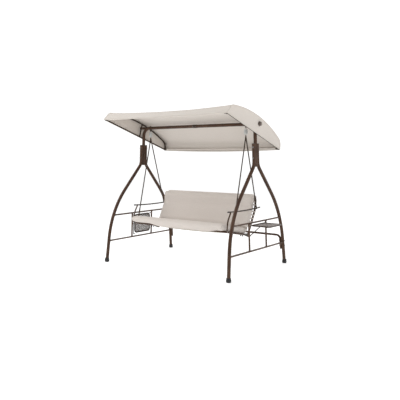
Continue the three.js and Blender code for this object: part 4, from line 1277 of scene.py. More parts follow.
    def crossbeam(self) -> None:
        """The two bent tubes that meet in the middle, their sleeve, and the stubs for the canopy."""
        shop = self.shop
        for side in Side:
            s = side.sign
            line = rounded([
                (shop.at(s * self.side_x(self.post_bottom), 0, self.post_bottom), 0.0),
                (shop.at(s * self.side_x(shop.beam_z), 0, shop.beam_z), self.bend_r),
                (shop.at(s * 0.0003, 0, shop.beam_z), 0.0)], 4.0)
            tube = shop.tubes(f"bent_beam_{side.word}", [line], self.leg_d, shop.finishes.bronze,
                              sides=32)
            shop.ship(tube, "stand", Slot.BRONZE, f"corner_tube_{side.word}")
            low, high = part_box(f"canopy_stub_{side.word}")
            outer = high.x if s > 0 else low.x
            start = shop.at(s * (self.stub_inner + 0.012), 0, shop.beam_z)
            tip = Vector((outer, start.y, start.z))
            stub = Shape()
            length = (tip - start).length
            r = self.stub_d / 2
            stub.lathe([(0, 0), (r, 0), (r, length - 0.0015), (r - 0.0012, length), (0.006, length),
                        (0.006, length - 0.004), (0, length - 0.004)], start, tip - start)
            piece = stub.to_object(f"pivot_stub_{side.word}", [shop.finishes.bronze])
            shop.ship(piece, "stand", Slot.BRONZE, f"canopy_stub_{side.word}")
        r = self.leg_d / 2 + 0.0019
        half = self.sleeve_half
        sleeve = Shape()
        sleeve.lathe([(self.leg_d / 2 + 0.0002, -half), (r - 0.0006, -half), (r, -half + 0.0008),
                      (r, half - 0.0008), (r - 0.0006, half), (self.leg_d / 2 + 0.0002, half)],
                     shop.at(0, 0, shop.beam_z), ACROSS, sides=40)
        piece = sleeve.to_object("joint_sleeve", [shop.finishes.dark])
        shop.ship(piece, "stand", Slot.DARK, "beam_sleeve")
        spots = [(shop.at(x, -r, shop.beam_z), -BACKWARD) for x in (-0.018, 0.018)]
        spots += [(shop.at(x, r, shop.beam_z), BACKWARD) for x in (-0.018, 0.018)]
        screws = shop.recipes.screw.bake("sleeve_screws", spots_of(spots), shop.finishes.screw,
                                         Head=0.010, Height=0.0035)
        shop.ship(screws, "stand", Slot.DARK)

    def stretcher(self) -> None:
        """The bent bar across the rear, bolted to the inner faces of the rear legs."""
        shop = self.shop
        inset = self.leg_d / 2 + self.stretcher_d / 2 + 0.0003

        def spot(sign: int, height: float) -> Vector:
            """The bar's middle beside a rear leg at a height."""
            return shop.at(sign * (self.side_x(height) - inset), self.leg_y(height), height)

        line = rounded([(spot(-1, self.stretcher_end), 0.0), (spot(-1, self.stretcher_z), self.stretcher_r),
                        (spot(1, self.stretcher_z), self.stretcher_r), (spot(1, self.stretcher_end), 0.0)])
        bar = shop.tubes("rear_stretcher_bar", [line], self.stretcher_d, shop.finishes.bronze, sides=28)
        shop.ship(bar, "stand", Slot.BRONZE, "rear_stretcher")
        caps = Shape()
        bolts: list[tuple[Vector, Vector]] = []
        r = self.stretcher_d / 2
        for side in Side:
            foot = spot(side.sign, self.stretcher_end)
            way = (foot - spot(side.sign, self.stretcher_end + 0.05)).normalized()
            caps.lathe([(0, -0.001), (r - 0.001, -0.001), (r + 0.0005, 0.0), (r + 0.0005, 0.002),
                        (r - 0.003, 0.0045), (0, 0.005)], foot, way)
            for height in (0.212, 0.272):
                at = spot(side.sign, height) + ACROSS * (-side.sign * r)
                bolts.append((at, ACROSS * -side.sign))
                outside = spot(side.sign, height) + ACROSS * (side.sign * (r + self.leg_d + 0.0003))
                bolts.append((outside, ACROSS * side.sign))
        piece = caps.to_object("stretcher_end_caps", [shop.finishes.black])
        shop.ship(piece, "stand", Slot.BLACK)
        heads = shop.recipes.bolt.bake("stretcher_bolts", spots_of(bolts), shop.finishes.screw,
                                       sharp=25.0, Head=0.013, Height=0.0055)
        shop.ship(heads, "stand", Slot.DARK)

    def bolts(self) -> None:
        """The long bolts that clamp the legs to the corner tubes."""
        shop = self.shop
        reach = self.leg_gap + self.leg_d / 2 + 0.0003
        for side in Side:
            for word, height in zip(("lower", "upper"), self.bolt_z):
                spots = [(self.on_side(side, end.sign * reach, height), BACKWARD * end.sign)
                         for end in End]
                heads = shop.recipes.bolt.bake(f"leg_bolt_{word}_{side.word}", spots_of(spots),
                                               shop.finishes.screw, sharp=25.0, Head=0.0155,
                                               Height=0.0065)
                shop.ship(heads, "stand", Slot.DARK, f"frame_bolt_{word}_{side.word}")

    def build(self) -> None:
        """Makes and dresses the whole stand."""
        self.legs()
        self.feet()
        self.plugs()
        self.ladders()
        self.crossbeam()
        self.stretcher()
        self.bolts()


# ------------------------------------------------------------------------------ canopy


@dataclass
class Canopy:
    """The tilting canopy: two D-shaped side frames, two bars, one sewn cover and two knobs.

    Its own frame has u back along the chord and n up from it, with the pivot at 0, 0.
    """

    shop: Shop
    tilt: float = math.radians(17.65)
    chord_n: float = -0.118
    front_u: float = -0.621
    rear_u: float = 0.533
    arch_r: float = 1.727
    crown: tuple[float, float] = (-0.044, 0.072)
    front_way: tuple[float, float] = (0.056, 0.106)
    rear_way: tuple[float, float] = (0.016, 0.100)
    front_round: float = 0.034
    rear_round: float = 0.062
    half_x: float = 0.8625
    cloth: float = 0.0012
    cloth_room: float = 0.004
    rib_room: float = 0.006
    tube_d: float = 0.014
    bar_d: float = 0.016
    hub_r: float = 0.017
    hem_lift: float = 0.0065
    columns: int = 64

    @property
    def centre(self) -> tuple[float, float]:
        """The centre of the arch."""
        return self.crown[0], self.crown[1] - self.arch_r

    def place(self, x: float, u: float, n: float) -> Vector:
        """A point of the canopy's own frame in the row frame."""
        c, s = math.cos(self.tilt), math.sin(self.tilt)
        return self.shop.at(x, u * c + n * s, self.shop.beam_z - u * s + n * c)

    def on_arch(self, start: tuple[float, float], way: tuple[float, float],
                radius: float) -> tuple[float, float]:
        """Where a line from a point along a way meets the arch."""
        du, dn = start[0] - self.centre[0], start[1] - self.centre[1]
        length = math.hypot(*way)
        u, n = way[0] / length, way[1] / length
        b = du * u + dn * n
        t = -b + math.sqrt(b * b - (du * du + dn * dn - radius * radius))
        return start[0] + t * u, start[1] + t * n

    def outline(self, inset: float, flat: int = 7, turns: int = 8,
                arch: int = 30) -> list[tuple[float, float]]:
        """The side outline from front hem to rear hem, set in by a distance.

        Args:
            inset: how far inside the outer face it runs.
            flat: steps on each valance.
            turns: steps round each top edge.
            arch: steps over the arch.

        Returns:
            (u, n) pairs.
        """
        radius = self.arch_r - inset
        front, rear = (self.front_u + inset, self.chord_n), (self.rear_u - inset, self.chord_n)
        front_top = self.on_arch(front, self.front_way, radius)
        rear_top = self.on_arch(rear, (-self.rear_way[0], self.rear_way[1]), radius)

        def slide(a: tuple[float, float], b: tuple[float, float], length: float) -> tuple[float, float]:
            """A point on the way from a to b."""
            whole = math.hypot(b[0] - a[0], b[1] - a[1])
            return a[0] + (b[0] - a[0]) * length / whole, a[1] + (b[1] - a[1]) * length / whole

        def angle(point: tuple[float, float]) -> float:
            """A point's angle about the arch's centre."""
            return math.atan2(point[1] - self.centre[1], point[0] - self.centre[0])

        def circle(turn: float) -> tuple[float, float]:
            """The arch's point at an angle."""
            return (self.centre[0] + radius * math.cos(turn), self.centre[1] + radius * math.sin(turn))

        def soft(a: tuple[float, float], b: tuple[float, float],
                 c: tuple[float, float]) -> list[tuple[float, float]]:
            """A rounded corner from a to c with its point at b."""
            points = []
            for k in range(turns + 1):
                t = k / turns
                w = ((1 - t) ** 2, 2 * t * (1 - t), t * t)
                points.append((w[0] * a[0] + w[1] * b[0] + w[2] * c[0],
                               w[0] * a[1] + w[1] * b[1] + w[2] * c[1]))
            return points

        front_angle = angle(front_top) - self.front_round / radius
        rear_angle = angle(rear_top) + self.rear_round / radius
        fold = slide(front_top, front, self.front_round)
        drop = slide(rear_top, rear, self.rear_round)
        line = [slide(front, fold, k / flat * math.dist(front, fold)) for k in range(flat)]
        line += soft(fold, front_top, circle(front_angle))
        line += [circle(front_angle + (rear_angle - front_angle) * k / arch) for k in range(1, arch)]
        line += soft(circle(rear_angle), rear_top, drop)
        line += [slide(drop, rear, k / flat * math.dist(drop, rear)) for k in range(1, flat + 1)]
        return line

    def sag(self, share: float, x: float) -> tuple[float, float]:
        """How far the cloth hangs between its sides.

        Args:
            share: place along the outline, 0 at the front hem and 1 at the rear hem.
            x: place across, from the middle.

        Returns:
            The distance inward from the outline, and the distance straight down.
        """
        bow = 1 - (x / self.half_x) ** 2
        stations = (0.0, 0.05, 0.12, 0.3, 0.5, 0.75, 0.87, 0.95, 1.0)
        inward = (0.001, 0.004, 0.014, 0.020, 0.018, 0.022, 0.018, 0.006, 0.002)
        down = (0.006, 0.009, 0.011, 0.006, 0.004, 0.004, 0.004, 0.008, 0.017)
        return (bow * float(np.interp(share, stations, inward)),
                bow * float(np.interp(share, stations, down)))

    def cover_point(self, line: list[tuple[float, float]], i: int, x: float) -> Vector:
        """A point of the sagging cover, with faint tension folds."""
        u, n = line[i]
        before, after = line[max(i - 1, 0)], line[min(i + 1, len(line) - 1)]
        way = Vector((after[0] - before[0], after[1] - before[1])).normalized()
        inward = Vector((way.y, -way.x))
        share = i / (len(line) - 1)
        pull, drop = self.sag(share, x)
        edge = min(1.0, (self.half_x - abs(x)) / 0.12) * min(1.0, share / 0.08, (1 - share) / 0.08)
        fold = noise.noise(Vector((x * 2.3, u * 9.0, 0.7))) * 0.0032
        fold += noise.noise(Vector((x * 7.0, u * 5.0, 3.1))) * 0.0014
        pull += fold * edge
        return self.place(x, u + inward.x * pull, n + inward.y * pull - drop)

    def panel_bulge(self, u: float, n: float, top: float) -> float:
        """How far a side panel sinks between its tubes at a place."""
        low = self.chord_n + self.hem_lift
        if top - low < 1e-4:
            return 0.0
        height = (n - low) / (top - low)
        spans = (self.front_u, 0.0, self.rear_u)
        first, last = (spans[0], spans[1]) if u < 0 else (spans[1], spans[2])
        across = (u - first) / (last - first)
        sink = 16 * height * (1 - height) * max(0.0, across * (1 - across)) * 0.0085
        sink += noise.noise(Vector((u * 11.0, n * 7.0, 1.3))) * 0.0009 * min(1.0, 4 * height * (1 - height))
        return max(0.0, sink)

    def cover(self) -> bpy.types.Object:
        """The sewn cover: one sheet over the arch and both valances, with its side panels."""
        line = self.outline(0.0)
        across = [self.half_x * (2 * k / self.columns - 1) for k in range(self.columns + 1)]
        points: list[Vector] = []
        faces: list[tuple[int, ...]] = []
        wide = len(across)
        for i in range(len(line)):
            points += [self.cover_point(line, i, x) for x in across]
        for i in range(len(line) - 1):
            for k in range(wide - 1):
                a = i * wide + k
                faces.append((a, a + 1, a + wide + 1, a + wide))
        rows = 10
        low = self.chord_n + self.hem_lift
        for side in Side:
            edge = 0 if side is Side.LEFT else wide - 1
            previous: list[int] = []
            for i, (u, n) in enumerate(line):
                column = [i * wide + edge]
                for r in range(1, rows + 1):
                    down = n + (low - n) * r / rows if n > low else n
                    sink = self.panel_bulge(u, down, n)
                    column.append(len(points))
                    points.append(self.place(side.sign * (self.half_x - sink), u, down))
                if previous:
                    for r in range(rows):
                        quad = (previous[r], column[r], column[r + 1], previous[r + 1])
                        faces.append(quad if side is Side.RIGHT else quad[::-1])
                previous = column
        mesh = bpy.data.meshes.new("canopy_cover_sheet")
        mesh.from_pydata([tuple(p) for p in points], [], faces)
        edit = bmesh.new()
        edit.from_mesh(mesh)
        bmesh.ops.remove_doubles(edit, verts=edit.verts, dist=2e-4)
        bmesh.ops.recalc_face_normals(edit, faces=edit.faces)
        edit.faces.ensure_lookup_table()
        top = max(edit.faces, key=lambda face: face.calc_center_median().z)
        if top.normal.z < 0:
            bmesh.ops.reverse_faces(edit, faces=edit.faces)
        edit.to_mesh(mesh)
        edit.free()
        mesh.materials.append(self.shop.finishes.canvas)
        sheet = link(bpy.data.objects.new("canopy_cover_sheet", mesh))
        thick = sheet.modifiers.new("cloth", "SOLIDIFY")
        thick.thickness = self.cloth
        thick.offset = -1.0
        return apply_all(sheet, 62.0)

    def bindings(self) -> list[bpy.types.Object]:
        """Piping along every seam, and the rolled hems."""
        shop = self.shop
        line = self.outline(0.0)
        trim = Shape()
        cord = oval(0.0056, 0.0056, 10)
        for side in Side:
            edge = [self.cover_point(line, i, side.sign * self.half_x) for i in range(len(line))]
            trim.sweep(edge, cord, ACROSS)
            low = self.chord_n + self.hem_lift
            hem = [self.place(side.sign * (self.half_x + 0.0004), u, low) for u, n in line if n <= low + 0.2]
            hem.sort(key=lambda p: p.y)
            hem = resampled([hem[0], hem[-1]], 0.05)
            trim.sweep(hem, oval(0.0032, 0.013, 12, 3.0), UP)
        xs = [self.half_x * (2 * k / 80 - 1) for k in range(81)]
        for index in (11, len(line) - 12):
            seam = [self.cover_point(line, index, x * 0.998) for x in xs]
            trim.sweep(seam, oval(0.0046, 0.0046, 10), UP)
        piping = trim.to_object("canopy_piping", [shop.finishes.canvas_trim], 60.0)
        hems = Shape()
        for index, way in ((0, 1), (len(line) - 1, -1)):
            roll = [self.cover_point(line, index, x * 0.999) for x in xs]
            up = (self.cover_point(line, index + way, 0.0) - self.cover_point(line, index, 0.0)).normalized()
            hems.sweep([p + up * 0.006 for p in roll], oval(0.0062, 0.017, 14, 2.6), up)
        hem = hems.to_object("canopy_hems", [shop.finishes.canvas_trim], 60.0)
        return [piping, hem]

    def stitches(self) -> bpy.types.Object:
        """Rows of stitches beside the seams and above the hems."""
        line = self.outline(-0.0004)
        rows: list[Line] = []
        xs = [self.half_x * (2 * k / 80 - 1) * 0.994 for k in range(81)]
        last = len(line) - 1
        for index in (2, 9, 13, last - 13, last - 9, last - 2):
            rows.append([self.cover_point(line, index, x) for x in xs])
        for side in Side:
            for inset in (0.010,):
                rows.append([self.cover_point(line, i, side.sign * (self.half_x - inset))
                             for i in range(1, last)])
        for side in Side:
            under = self.outline(0.012)
            rows.append([self.place(side.sign * (self.half_x + 0.0003), u, n) for u, n in under[3:-3]])
        return self.shop.recipes.stitch.bake("canopy_stitches", edges_of(rows),
                                             self.shop.finishes.thread, 60.0, Spacing=0.0095,
                                             Length=0.006, Thread=0.0012, Seed=3)

    def side_frames(self) -> None:
        """The two D-shaped side frames with their hubs, and black caps on the lower corners."""
        shop = self.shop
        x = self.half_x - self.cloth_room - 0.0003 - self.tube_d / 2
        inset = self.cloth_room + self.rib_room + self.tube_d / 2
        lift = self.tube_d / 2 + 0.001
        rib = [(u, max(n, self.chord_n + lift)) for u, n in self.outline(inset, arch=40)]
        strut_top = self.centre[1] + math.sqrt((self.arch_r - inset) ** 2 - self.crown[0] ** 2)
        for side in Side:
            s = side.sign
            lines = [[self.place(s * x, u, n) for u, n in rib],
                     [self.place(s * x, rib[0][0] - 0.002, self.chord_n + lift),
                      self.place(s * x, rib[-1][0] + 0.002, self.chord_n + lift)],
                     [self.place(s * x, 0.0, self.chord_n + lift), self.place(s * x, 0.0, strut_top)]]
            tube = shop.tubes(f"side_frame_tubes_{side.word}", lines, self.tube_d, shop.finishes.dark,
                              sides=20)
            shop.ship(tube, "canopy", Slot.DARK, f"canopy_side_frame_{side.word}")
            fittings = Shape()
            half = self.tube_d / 2
            fittings.lathe([(0.005, -half), (self.hub_r - 0.002, -half), (self.hub_r, -half + 0.002),
                            (self.hub_r, half - 0.002), (self.hub_r - 0.002, half), (0.005, half)],
                           self.place(s * x, 0, 0), ACROSS, sides=36, finish=1)
            for u, n in (rib[0], rib[-1]):
                corner = self.place(s * x, u, self.chord_n + lift)
                way = self.place(s * x, u, self.chord_n) - corner
                fittings.lathe([(0, 0), (half + 0.0012, 0), (half + 0.0012, 0.006),
                                (half - 0.001, 0.0125), (0, 0.014)], corner, way, sides=20)
            piece = fittings.to_object(f"side_frame_fittings_{side.word}",
                                       [shop.finishes.black, shop.finishes.dark])
            shop.ship(piece, "canopy", Slot.BLACK)

    def bars(self) -> bpy.types.Object:
        """The straight bars inside the front and rear hems, and the cloth pockets round them.

        Returns:
            The pockets.
        """
        shop = self.shop
        pockets = Shape()
        for end in End:
            low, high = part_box(f"canopy_{end.word}_bar")
            y, z = (low.y + high.y) / 2, (low.z + high.z) / 2
            line = [Vector((x, y, z)) for x in (low.x, high.x)]
            bar = shop.tubes(f"hem_bar_{end.word}", [line], self.bar_d, shop.finishes.dark, sides=20)
            shop.ship(bar, "canopy", Slot.DARK, f"canopy_{end.word}_bar")
            section = oval(self.bar_d + 0.0036, self.bar_d + 0.0030, 20, 2.2)
            inner = [Vector((x, y, z)) for x in np.linspace(low.x + 0.026, high.x - 0.026, 90)]
            soft = [p + Vector((0, noise.noise(Vector((p.x * 14, 2.0 * end.sign, 0))) * 0.0008,
                                noise.noise(Vector((p.x * 9, 5.0, end.sign))) * 0.0008)) for p in inner]
            pockets.sweep(soft, section, UP)
        piece = pockets.to_object("canopy_bar_pockets", [shop.finishes.canvas], 60.0)
        return piece

    def knobs(self) -> None:
        """Fluted hand knobs that clamp the canopy, with a paler cap in the middle."""
        shop = self.shop
        for side in Side:
            low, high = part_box(f"canopy_knob_{side.word}")
            s = side.sign
            face = (high.x if s > 0 else low.x) - s * 0.024
            at = Vector((face, shop.joint_at("canopy_tilt").y, shop.beam_z))

            def grip(angle: float, height: float) -> float:
                """Ten flutes round the rim."""
                return 1 - 0.055 * (0.5 + 0.5 * math.cos(10 * angle)) ** 2 * (0.003 < height < 0.022)

            knob = Shape()
            knob.lathe([(0.0045, -0.050), (0.0045, 0.0), (0.018, 0.0), (0.021, 0.0008),
                        (0.0226, 0.0035), (0.023, 0.009), (0.0226, 0.0155), (0.0212, 0.0195),
                        (0.0185, 0.0222), (0.0135, 0.0232), (0.0128, 0.0222), (0.0, 0.0222)],
                       at, ACROSS * s, sides=80, flute=grip)
            knob.lathe([(0.0, 0.0222), (0.0118, 0.0222), (0.0116, 0.0232), (0.009, 0.0239),
                        (0.0, 0.0241)], at, ACROSS * s, sides=40, finish=1)
            piece = knob.to_object(f"clamp_knob_{side.word}", [shop.finishes.knob, shop.finishes.knob_cap])
            shop.ship(piece, f"knob_{side.word}", Slot.KNOB, f"canopy_knob_{side.word}")
            washer = Shape()
            washer.lathe([(0.0052, -0.0005), (0.0265, -0.0005), (0.027, 0.0003), (0.0268, 0.0009),
                          (0.0052, 0.0009)], at, ACROSS * s, sides=48)
            ring = washer.to_object(f"knob_washer_{side.word}", [shop.finishes.knob])
            shop.ship(ring, "canopy", Slot.KNOB)

    def build(self) -> None:
        """Makes and dresses the whole canopy."""
        shop = self.shop
        self.side_frames()
        pockets = self.bars()
        cover = self.cover()
        shop.ship(cover, "canopy", Slot.CANOPY, "canopy_cover")
        trims = self.bindings() + [self.stitches(), pockets]
        for piece in trims:
            shop.ship(piece, "canopy", Slot.CANOPY)
        line = self.outline(0.0)
        self.knobs()


def apply_all(piece: bpy.types.Object, sharp: float = 38.0) -> bpy.types.Object:
    """Makes a piece's modifiers part of its mesh.

    Args:
        piece: an object with modifiers.
        sharp: edges over this many degrees stay sharp.

    Returns:
        The same object.
    """
    depsgraph = bpy.context.evaluated_depsgraph_get()
    mesh = bpy.data.meshes.new_from_object(piece.evaluated_get(depsgraph), depsgraph=depsgraph)
    piece.modifiers.clear()
    old = piece.data
    piece.data = mesh
    mesh.name = piece.name
    bpy.data.meshes.remove(old)
    finish_mesh(mesh, sharp)
    return piece


# ------------------------------------------------------------------------------ hanging gear


@dataclass
class HangingGear:
    """The hooks on the crossbeam, the springs, and the hanger rods down to the seat."""

    shop: Shop
    seat: SeatFrame
    hang_x: float = 0.69402
    beam_d: float = 0.038
    hook_wire: float = 0.0066
    hook_drop: float = 0.041
    spring_d: float = 0.040
    wire: float = 0.0046
    turns: float = 11.0
    rod_d: float = 0.0130
    sleeve_d: float = 0.0160
    front_y: float = -0.252
    rear_y: float = 0.245
    below_arm: float = 0.005

    def hooks(self) -> None:
        """Teardrop rings of wire round the crossbeam."""
        shop = self.shop
        r = self.beam_d / 2 + 0.0008 + self.hook_wire / 2
        for side in Side:
            x = side.sign * self.hang_x
            loop = []
            for k in range(41):
                angle = math.radians(-25 + 230 * k / 40)
                loop.append(shop.at(x, r * math.cos(angle), shop.beam_z + r * math.sin(angle)))
            tip = [shop.at(x, -0.0055, shop.beam_z - self.hook_drop + 0.0045),
                   shop.at(x, 0.0, shop.beam_z - self.hook_drop + 0.001),
                   shop.at(x, 0.0055, shop.beam_z - self.hook_drop + 0.0045)]
            ring = shop.tubes(f"beam_ring_{side.word}", [loop + tip], self.hook_wire,
                              shop.finishes.dark, closed=True, sides=14)
            shop.ship(ring, "swing_gear", Slot.DARK, f"beam_hook_{side.word}")

    def springs(self) -> None:
        """Close-wound springs with end loops, made where the frame's springs hang."""
        shop = self.shop
        for side in Side:
            low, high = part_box(f"spring_{side.word}")
            x, y = (low.x + high.x) / 2, shop.middle.y
            loop_h = 0.011
            start = Vector((x, y, low.z + loop_h))
            length = high.z - low.z - 2 * loop_h
            coil = shop.recipes.coil.bake(f"hanging_spring_{side.word}", spots_of([(start, UP)]),
                                          shop.finishes.zinc, 60.0, Coil=self.spring_d,
                                          Wire=self.wire, Length=length, Turns=self.turns, Steps=24,
                                          Wire_Sides=10)
            mean = (self.spring_d - self.wire) / 2
            ends = Shape()
            section = oval(self.wire, self.wire, 10)
            for base, way in ((low.z + loop_h, -1), (high.z - loop_h, 1)):
                arc = []
                for k in range(15):
                    t = k / 14
                    reach = mean * math.cos(math.pi * t)
                    rise = (loop_h - self.wire / 2) * math.sin(math.pi * t)
                    arc.append(Vector((x + reach, y, base + way * rise)))
                ends.sweep(arc, section, BACKWARD)
            loops = ends.to_object(f"spring_loops_{side.word}", [shop.finishes.zinc], 60.0)
            for piece, nodes in ((coil, [f"spring_{side.word}"]), (loops, [])):
                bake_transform(piece)
                if nodes:
                    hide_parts(*nodes)
                LOG.info("%s between swing_gear and seat", piece.name)

    def hangers(self) -> None:
        """Inverted V rods with an eye at the top, sleeves below the armrests and seat lugs."""
        shop = self.shop
        for side in Side:
            s = side.sign
            low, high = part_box(f"hanger_{side.word}")
            x = s * self.hang_x
            apex = shop.at(x, 0.0, high.z - 0.009)
            front = shop.at(x, self.front_y, self.seat.seat_z(self.front_y))
            rear = shop.at(x, self.rear_y, self.seat.arm_height(self.rear_y) - self.below_arm)
            rods = shop.tubes(f"hanger_rods_{side.word}", [resampled([apex, front], 0.12),
                                                            resampled([apex, rear], 0.12)],
                              self.rod_d, shop.finishes.dark, sides=18)
            shop.ship(rods, "seat", Slot.DARK, f"hanger_{side.word}")
            parts = Shape()
            eye = []
            for k in range(24):
                angle = 2 * math.pi * k / 24
                eye.append(apex + Vector((0.0, 0.0075 * math.cos(angle), 0.0012 + 0.0066 * math.sin(angle))))
            parts.sweep(eye, oval(0.0052, 0.0052, 10), ACROSS, closed=True)
            way = (front - apex).normalized()
            join = front - way * 0.175
            r = self.sleeve_d / 2
            length = (front - join).length
            parts.lathe([(self.rod_d / 2, 0.0), (r - 0.0008, 0.0), (r, 0.0014), (r, length - 0.001),
                         (r - 0.001, length), (0.0, length)], join, way, sides=24)
            rear_way = (rear - apex).normalized()
            collar = rear - rear_way * 0.030
            parts.lathe([(self.rod_d / 2, 0.0), (self.rod_d / 2 + 0.0012, 0.001),
                         (self.rod_d / 2 + 0.0012, 0.029), (self.rod_d / 2 - 0.001, 0.0325), (0, 0.033)],
                        collar, rear_way, sides=24)
            lug_at = front + Vector((0, -0.0012, 0.006))
            inward = low.x if s > 0 else high.x
            reach = abs(lug_at.x - inward)
            parts.lathe([(0.0, -0.009), (0.0052, -0.009), (0.0062, -0.0078), (0.0054, 0.0),
                         (0.0054, reach - 0.0035), (0.0078, reach - 0.003), (0.0078, reach), (0, reach)],
                        lug_at, ACROSS * -s, sides=24)
            piece = parts.to_object(f"hanger_fittings_{side.word}", [shop.finishes.dark])
            shop.ship(piece, "seat", Slot.DARK)

    def build(self) -> None:
        """Makes and dresses the hooks, springs and hangers."""
        self.hooks()
        self.springs()
        self.hangers()


# ------------------------------------------------------------------------------ seat and back


@dataclass
class SeatFrame:
    """The seat's U-shaped frame, its sling, armrests, hinge brackets, and the back's frame."""

    shop: Shop
    half_x: float = 0.65802
    tube_d: float = 0.024
    front: tuple[float, float] = (-0.350, 0.466)
    rear: tuple[float, float] = (0.078, 0.3837)
    corner_r: float = 0.060
    bar_d: float = 0.016
    bar_back: float = 0.040
    hinge: tuple[float, float] = (0.118, 0.376)
    knee: tuple[float, float] = (0.270, 0.650)
    knee_r: float = 0.150
    top: tuple[float, float] = (0.290, 0.808)
    top_r: float = 0.060
    arm_x: float = 0.67832
    arm_d: float = 0.0160
    arm_y: tuple[float, float] = (-0.330, 0.350)
    arm_z: float = 0.664
    arm_rise: float = 0.010
    support_d: float = 0.016
    sling_edge: float = 0.032

    def seat_z(self, y: float) -> float:
        """Height of the side tubes' centres at a depth."""
        slope = (self.rear[1] - self.front[1]) / (self.rear[0] - self.front[0])
        return self.front[1] + slope * (y - self.front[0])

    def arm_height(self, y: float) -> float:
        """Height of an armrest's centreline at a depth."""
        middle = sum(self.arm_y) / 2
        share = (y - middle) / ((self.arm_y[1] - self.arm_y[0]) / 2)
        return self.arm_z + self.arm_rise * share * share

    def frames(self) -> None:
        """The seat tube with its rear bar, and the bent back tube."""
        shop = self.shop
        bronze = shop.finishes.bronze
        w = self.half_x
        loop = rounded([(shop.at(-w, *self.rear), 0.0), (shop.at(-w, *self.front), self.corner_r),
                        (shop.at(w, *self.front), self.corner_r), (shop.at(w, *self.rear), 0.0)])
        seat = shop.tubes("seat_tube", [loop], self.tube_d, bronze)
        shop.ship(seat, "seat", Slot.BRONZE, "seat_frame")
        y = self.rear[0] - self.bar_back
        reach = w - self.tube_d / 2 + 0.001
        bar = shop.tubes("seat_rear_bar", [[shop.at(-reach, y, self.seat_z(y)),
                                            shop.at(reach, y, self.seat_z(y))]], self.bar_d, bronze)
        shop.ship(bar, "seat", Slot.BRONZE)
        beads = [(shop.at(s * (w - self.tube_d / 2 - 0.0005), y, self.seat_z(y)), ACROSS) for s in (-1, 1)]
        weld = shop.recipes.weld.bake("seat_welds", spots_of(beads), bronze, 80.0,
                                      Ring=self.bar_d + 0.002, Bead=0.0038, Ripple=0.0005)
        shop.ship(weld, "seat", Slot.BRONZE)
        way = Vector((0, self.knee[0] - self.hinge[0], self.knee[1] - self.hinge[1])).normalized()
        bent = [(shop.at(-w, *self.hinge) - way * 0.010, 0.0), (shop.at(-w, *self.knee), self.knee_r),
                (shop.at(-w, *self.top), self.top_r), (shop.at(w, *self.top), self.top_r),
                (shop.at(w, *self.knee), self.knee_r), (shop.at(w, *self.hinge) - way * 0.010, 0.0)]
        back = shop.tubes("back_tube", [rounded(bent)], self.tube_d, bronze)
        shop.ship(back, "back", Slot.BRONZE, "back_frame")
        caps = Shape()
        r = self.tube_d / 2
        for side in Side:
            foot = shop.at(side.sign * w, *self.rear)
            along = (foot - shop.at(side.sign * w, *self.front)).normalized()
            caps.lathe([(0, -0.001), (r - 0.001, -0.001), (r + 0.0004, 0.0002), (r + 0.0004, 0.0022),
                        (r - 0.003, 0.0042), (0, 0.0046)], foot, along)
        piece = caps.to_object("seat_tube_caps", [shop.finishes.black])
        shop.ship(piece, "seat", Slot.BLACK)

    def sling(self) -> None:
        """The woven sling that carries the cushion, and the springs that lace it to the tubes."""
        shop = self.shop
        low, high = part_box("seat_sling")
        y0, y1 = low.y - shop.middle.y, high.y - shop.middle.y
        half = (high.x - low.x) / 2
        columns, rows = 60, 18
        points = []
        for r in range(rows + 1):
            for k in range(columns + 1):
                a, b = k / columns, r / rows
                x, y = half * (2 * a - 1), y0 + (y1 - y0) * b
                scallop = 0.004 * abs(math.sin(math.pi * a * 18)) * max(0.0, 1 - b * 6)
                drop = 0.022 * 16 * a * (1 - a) * b * (1 - b)
                surface = self.seat_z(y) - 0.0012 - drop
                points.append(shop.at(x, y + scallop, surface))
        faces = [(r * (columns + 1) + k, r * (columns + 1) + k + 1, (r + 1) * (columns + 1) + k + 1,
                  (r + 1) * (columns + 1) + k) for r in range(rows) for k in range(columns)]
        mesh = bpy.data.meshes.new("seat_sling_cloth")
        mesh.from_pydata([tuple(p) for p in points], [], faces)
        mesh.materials.append(shop.finishes.sling)
        cloth = link(bpy.data.objects.new("seat_sling_cloth", mesh))
        thick = cloth.modifiers.new("cloth", "SOLIDIFY")
        thick.thickness, thick.offset = 0.0014, -1.0
        apply_all(cloth, 60.0)
        shop.ship(cloth, "seat", Slot.SLING, "seat_sling")
        hem = Shape()
        border = [shop.at(-half, y, self.seat_z(y) - 0.0016) for y in (y1, y0)]
        border += [shop.at(half, y, self.seat_z(y) - 0.0016) for y in (y0, y1)]
        hem.sweep(resampled(border, 0.02), oval(0.016, 0.0042, 12, 2.8), UP)
        edge = hem.to_object("sling_hem", [shop.finishes.sling], 60.0)
        shop.ship(edge, "seat", Slot.SLING)
        self.laces(half, y0, y1)

    def laces(self, half: float, y0: float, y1: float) -> None:
        """Small springs between the sling's edge and the seat tube.

        Args:
            half: half the sling's width.
            y0: the sling's front edge.
            y1: its rear edge.
        """
        shop = self.shop
        reach = self.sling_edge - self.tube_d / 2
        spots = []
        for k in range(18):
            x = half * (2 * (k + 0.5) / 18 - 1) * 0.965
            spots.append((shop.at(x, y0 - 0.002, self.seat_z(y0) - 0.002), -BACKWARD))
        for side in Side:
            for k in range(5):
                y = y0 + (y1 - y0) * (k + 0.6) / 5
                spots.append((shop.at(side.sign * (half + 0.002), y, self.seat_z(y) - 0.002),
                              ACROSS * side.sign))
        laces = shop.recipes.coil.bake("sling_lacing_springs", spots_of(spots), shop.finishes.zinc,
                                       60.0, Coil=0.0085, Wire=0.0015, Length=reach - 0.003,
                                       Turns=6.0, Steps=8, Wire_Sides=5)
        shop.ship(laces, "seat", Slot.ZINC)

